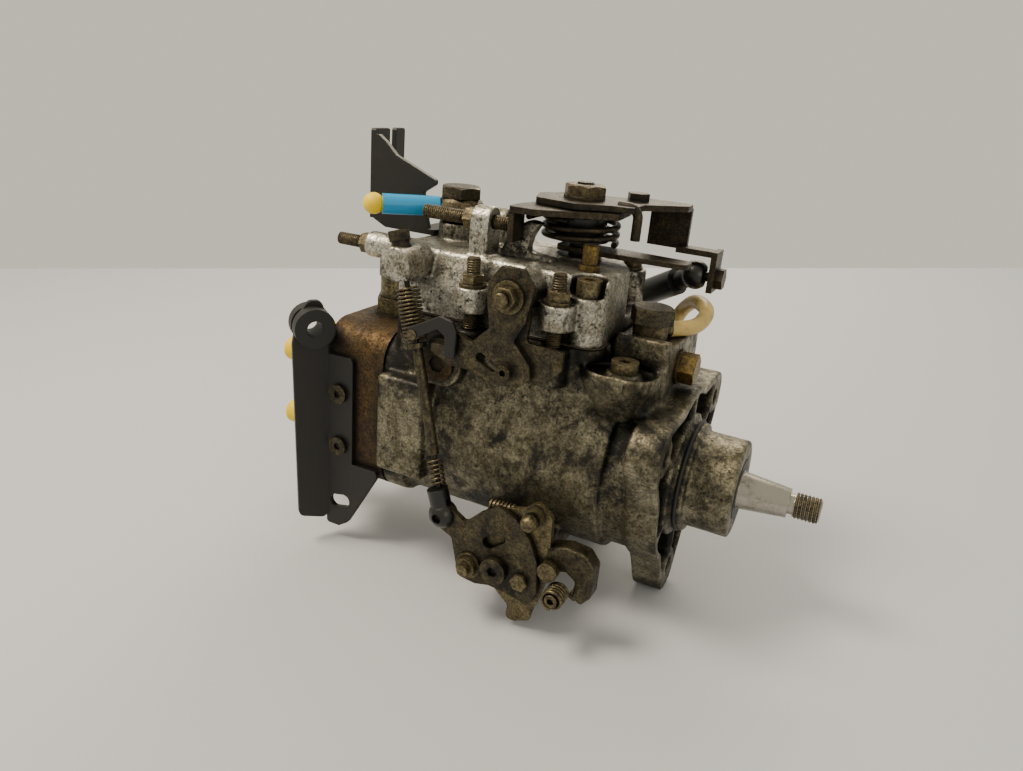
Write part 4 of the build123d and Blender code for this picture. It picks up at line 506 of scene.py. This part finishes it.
def link_piece(name, shape, material, body):
    """Object at the origin for a finished bmesh, riding on a body."""
    bmesh.ops.recalc_face_normals(shape, faces=shape.faces)
    mesh = bpy.data.meshes.new(name)
    shape.to_mesh(mesh)
    shape.free()
    mesh.materials.append(material)
    piece = bpy.data.objects.new(name, mesh)
    bpy.context.scene.collection.objects.link(piece)
    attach(piece, body)
    print(name, "has", len(mesh.polygons), "faces")


def aim(start, way):
    """Matrix that lays +Z along way, from a start in millimetres."""
    lay = Vector(way).to_track_quat("Z", "Y").to_matrix().to_4x4()
    lay.translation = Vector(start) * MM
    return lay


# %% Wind a thread
TURN_STEPS = 24
# one pitch of the ridge: how much of it stands at the crest (1) or the foot (0), and how far along
RIDGE = [(1, 0), (1, 0.15), (0, 0.5), (0, 0.65), (1, 1)]


def thread(name, start, way, length, core, pitch, material, body="root"):
    """Closed screw thread round a cylinder of radius core; sizes in millimetres."""
    shape = bmesh.new()
    radii = core + 0.02, core + 0.36 * pitch
    turns = math.ceil(length / pitch) + 2
    points = [shape.verts.new((radii[high] * MM, 0, (share - 1) * pitch * MM)) for high, share in RIDGE]
    edges = [shape.edges.new(pair) for pair in zip(points, points[1:])]
    bmesh.ops.spin(shape, geom=points + edges, cent=(0, 0, 0), axis=UP, dvec=(0, 0, pitch * MM / TURN_STEPS),
                   angle=2 * math.pi * turns, steps=TURN_STEPS * turns)
    bmesh.ops.remove_doubles(shape, verts=shape.verts, dist=pitch * MM * 0.01)
    for height, up_way in ((0.01, -1), (length, 1)):
        bmesh.ops.bisect_plane(shape, geom=shape.verts[:] + shape.edges[:] + shape.faces[:], dist=1e-7,
                               plane_co=(0, 0, height * MM), plane_no=(0, 0, up_way), clear_outer=True)
        rim = [edge for edge in shape.edges
               if edge.is_boundary and all(abs(v.co.z - height * MM) < 1e-6 for v in edge.verts)]
        bmesh.ops.holes_fill(shape, edges=rim)
    bmesh.ops.transform(shape, matrix=aim(start, way), verts=shape.verts)
    link_piece(name, shape, material, body)


# %% Threads
# real pitches here are 1.0 to 1.5 mm; they are drawn up to a fifth coarser, so that the ridges show
M6 = {"core": 3.0, "pitch": 1.2, "material": stud_steel}
thread("stop_screw_thread", (-148, -25, 116.5), ALONG_X, 34, **M6)
thread("stop_screw_tip_thread", (-107, -25, 116.5), ALONG_X, 8.5, **M6)
thread("second_stop_thread", (-132, 8, 113), ALONG_X, 5, **M6)
thread("full_load_thread", (-206, -20, 93), ALONG_X, 14, **M6)
for number, stud_x in enumerate((-107, -62)):
    thread(f"cover_stud_thread_{number}", (stud_x, -45, 88), UP, 13.6, **M6)
    thread(f"cover_stud_foot_{number}", (stud_x, -45, 67), UP, 8.6, **M6)
thread("throttle_stud_thread", (-74, 5, 132), UP, 5.7, 4.0, 1.4, stud_steel, "throttle")
thread("shaft_tip_thread", (55.2, 0, 0), ALONG_X, 11.6, 5.9, 1.75, stud_steel, "drive")
thread("side_lever_thread", (-80, -67.5, 90.5), TO_NEAR_SIDE, 2.0, **M6, body="idle_lever")

# %% [markdown]
# ## Rings and ribs
# A rubber ring seals the pilot in the engine plate, and the boots of the throttle link are
# moulded with ribs so that they flex.  All of them are rings.  A torus from the add menu would do,
# but a circle spun once round an axis can be laid along any direction in the same step.

# %% Spin a ring
def ring(shape, centre, way, radius, thick):
    """Adds a round ring about an axis to a bmesh; sizes in millimetres."""
    lay = Matrix.Translation((radius * MM, 0, 0)) @ Matrix.Rotation(math.pi / 2, 4, "X")
    section = bmesh.ops.create_circle(shape, segments=14, radius=thick * MM, matrix=lay)
    edges = list(dict.fromkeys(edge for vert in section["verts"] for edge in vert.link_edges))
    bmesh.ops.spin(shape, geom=section["verts"] + edges, cent=(0, 0, 0), axis=UP, dvec=(0, 0, 0),
                   angle=2 * math.pi, steps=64, use_merge=True)
    # rings made before this one are tagged, so only the new one is laid in its place
    fresh = [vert for vert in shape.verts if not vert.tag]
    bmesh.ops.transform(shape, matrix=aim(centre, way), verts=fresh)
    for vert in fresh:
        vert.tag = True


def rings(name, spots, way, material, body="root"):
    """One piece of several rings about one direction: (centre, radius, thickness) each."""
    shape = bmesh.new()
    for centre, radius, thick in spots:
        ring(shape, centre, way, radius, thick)
    for face in shape.faces:
        face.smooth = True
    link_piece(name, shape, material, body)


# %% Rings
rings("pilot_ring", [((3.2, 0, 0), 28.2, 1.1)], ALONG_X, black_rubber)
BALL, LINK_TIP = Vector((-20.0, 38.0, 95.0)), Vector((-62.0, 61.0, 69.0))
BEFORE_TIP = 16, 13, 10, 7
link_way = LINK_TIP - BALL
rib_spots = [(BALL + link_way.normalized() * (link_way.length - gap), 6.6, 0.9) for gap in BEFORE_TIP]
rings("link_boot_ribs", rib_spots, link_way, black_plastic, "link")

# %% [markdown]
# ## The cold-start device's small parts
# Behind the cold-start lever sit a ribbed adjusting barrel, a cast hook that anchors the return
# spring, and a socket screw inside that spring.  On the real pump they are turned, cast and cold
# headed; here the turned ones are spun from half an outline and the hook is an outline given
# thickness, with its edges rounded as a casting's are.

# %% Spin half an outline
def turned(name, start, way, outline, material, body="root"):
    """Closed turned piece from (radius, height) points that start and end on the axis."""
    shape = bmesh.new()
    points = [shape.verts.new((r * MM, 0, z * MM)) for r, z in outline]
    edges = [shape.edges.new(pair) for pair in zip(points, points[1:])]
    bmesh.ops.spin(shape, geom=points + edges, cent=(0, 0, 0), axis=UP, dvec=(0, 0, 0),
                   angle=2 * math.pi, steps=48, use_merge=True)
    bmesh.ops.remove_doubles(shape, verts=shape.verts, dist=1e-6)
    bmesh.ops.transform(shape, matrix=aim(start, way), verts=shape.verts)
    link_piece(name, shape, material, body)


RIBS, RIB_PITCH, RIB_RADIUS, GROOVE_RADIUS = 7, 2, 3.1, 2.5
ribs = [(0, 0), (2.2, 0)]
for step in range(RIBS):
    ribs += [(RIB_RADIUS, 0.5 + RIB_PITCH * step), (RIB_RADIUS, 1.5 + RIB_PITCH * step),
             (GROOVE_RADIUS, 1.8 + RIB_PITCH * step), (GROOVE_RADIUS, 2.2 + RIB_PITCH * step)]
ribs += [(2.2, 15), (0, 15)]
turned("adjusting_barrel", (-79.8, -61.5, -15.3), (15, 0, 1), ribs, stud_steel)
socket_head = [(0, 0), (2.2, 0), (2.2, 8), (3.4, 8.3), (3.4, 11.4), (3.1, 11.8), (1.7, 11.8), (1.7, 9.4),
               (0, 9.0)]
turned("spring_screw", (-37, -65, -47), TO_NEAR_SIDE, socket_head, stud_steel)

# %% Thicken an outline
def slab(name, outline, front_y, thick, corner, material, body="root"):
    """Flat piece with rounded edges: (x, z) points in a plane across Y, thickened away from -Y."""
    shape = bmesh.new()
    face = shape.faces.new([shape.verts.new((x * MM, front_y * MM, z * MM)) for x, z in outline])
    grown = bmesh.ops.extrude_face_region(shape, geom=[face], use_keep_orig=True)["geom"]
    bmesh.ops.translate(shape, vec=(0, thick * MM, 0),
                        verts=[part for part in grown if isinstance(part, bmesh.types.BMVert)])
    bmesh.ops.recalc_face_normals(shape, faces=shape.faces)
    bmesh.ops.bevel(shape, geom=shape.edges[:], offset=corner * MM, affect="EDGES", segments=3,
                    profile=0.5, material=-1, clamp_overlap=True)
    link_piece(name, shape, material, body)


hook = [(-46, -26), (-36, -23), (-26, -24), (-21, -30), (-21, -46), (-26, -52), (-31, -49), (-30, -40),
        (-36, -36), (-46, -37)]
slab("spring_hook", hook, -65.5, 10.0, 1.5, lever_steel)
foot = [(-57, -66), (-50, -63), (-52, -72.5), (-58, -74.8), (-64, -73), (-63, -68)]
slab("bracket_foot", foot, -64.8, 4.0, 1.2, stud_steel)

# %% [markdown]
# ## Three more small parts
# A bent arm of painted sheet steel sits by the control rod's collar on a pin, the return union's
# eye is forged to a bulge round its bore, and the throttle's return spring is wound on a dark
# bush.  The same two ways of making them serve again: thicken an outline, or spin half of one.

# %% Arm, eye and bush
arm = [(-132, 60), (-132, 66), (-114, 75.5), (-107, 74), (-104.5, 69), (-105, 56), (-110.5, 56),
       (-111, 66), (-115, 68.5), (-126, 62)]
slab("collar_arm", arm, -62.8, 2.2, 0.7, black_paint, "rod")
pin = [(0, 0), (2.6, 0.3), (2.6, 1.2), (1.8, 1.4), (1.8, 7), (0, 7)]
turned("collar_arm_pin", (-129, -63.6, 63), TO_FAR_SIDE, pin, stud_steel, "rod")
bulge = [(0, 0), (9.5, 0), (11.6, 1.6), (12.6, 4.4), (12.6, 8.2), (11.6, 11), (9.8, 12.6), (0, 12.6)]
turned("banjo_eye", (-142, 0, 109.2), UP, bulge, stud_steel)
bush = [(0, 0), (14.5, 0), (14.5, 1), (13, 1.5), (13, 12), (0, 12)]
turned("spring_bush", (-74, 5, 109.5), UP, bush, black_plastic, "throttle")

# %% [markdown]
# ## Floor
# The pump leans on its flange, its cold-start bracket and its rear bracket.  It could be turned
# to stand on a level floor, but then it would leave the frame in which every size is given, so the
# floor is tilted to touch the pump instead.  It is a bench top whose far edge lies behind the pump.

# %% Floor
FLOOR_UP = Vector((-0.041, -0.099, 0.994)).normalized()
FLOOR_HALF = 1.5
BENCH_END = 0.95
FLOOR_GAP = 0.0002

lowest = min(FLOOR_UP.dot(vert.co) for thing in nodes.values() for vert in thing.data.vertices)
floor_shape = bmesh.new()
bmesh.ops.create_grid(floor_shape, x_segments=2, y_segments=2, size=FLOOR_HALF)
heading = (CAMERA_AHEAD - FLOOR_UP * FLOOR_UP.dot(CAMERA_AHEAD)).normalized()
lay = Matrix((heading.cross(FLOOR_UP), heading, FLOOR_UP)).transposed().to_4x4()
under_camera = CAMERA_PLACE - FLOOR_UP * (FLOOR_UP.dot(CAMERA_PLACE) - lowest + FLOOR_GAP)
lay.translation = under_camera + heading * (BENCH_END - FLOOR_HALF)
bmesh.ops.transform(floor_shape, matrix=lay, verts=floor_shape.verts)
floor_mesh = bpy.data.meshes.new("floor")
floor_shape.to_mesh(floor_mesh)
floor_shape.free()
floor = bpy.data.objects.new("floor", floor_mesh)
bpy.context.scene.collection.objects.link(floor)
# pale bench paint, rubbed matt by use, so the pump throws a soft shadow and no reflection
floor_paint, floor_tree, floor_shader, _ = new_material("floor_paint")
floor_shader.inputs["Base Color"].default_value = linear("#bfc2c8")
floor_shader.inputs["Roughness"].default_value = 0.7
floor_mesh.materials.append(floor_paint)
print("floor lies", round(-lowest / MM, 1), "mm below the shaft")

# %% [markdown]
# ## Light
# A bench by a window has one main soft light and paler ones around it.  Here a warm key light
# stands above, to the left and in front, a weak one fills from the right, a third from behind
# draws the top edges, and the world adds a pale room.  A single strong lamp would make the oil
# film look like lacquer.

# %% Light
LAMP_COLOUR, ROOM_COLOUR, ROOM_STRENGTH = "#fff0d8", "#efe9d8", 0.85
PUMP_MIDDLE = (-0.09, 0.0, 0.03)


def soft_light(name, place, size, power):
    """Square area light that looks at the pump's middle."""
    lamp = bpy.data.lights.new(name, "AREA")
    lamp.size, lamp.energy, lamp.color = size, power, linear(LAMP_COLOUR)[:3]
    thing = bpy.data.objects.new(name, lamp)
    bpy.context.scene.collection.objects.link(thing)
    thing.location = place
    thing.rotation_mode = "QUATERNION"
    thing.rotation_quaternion = (Vector(PUMP_MIDDLE) - Vector(place)).to_track_quat("-Z", "Y")
    print(name, "gives", power, "W")


soft_light("key_light", (-0.65, -0.35, 1.0), 0.4, 15.0)
soft_light("fill_light", (0.8, -0.7, 0.45), 0.5, 2.0)
soft_light("back_light", (-0.25, 0.85, 0.75), 0.5, 7.0)
world = bpy.data.worlds.new("pale_room")
world.use_nodes = True
world.node_tree.nodes["Background"].inputs["Color"].default_value = linear(ROOM_COLOUR)
world.node_tree.nodes["Background"].inputs["Strength"].default_value = ROOM_STRENGTH
bpy.context.scene.world = world
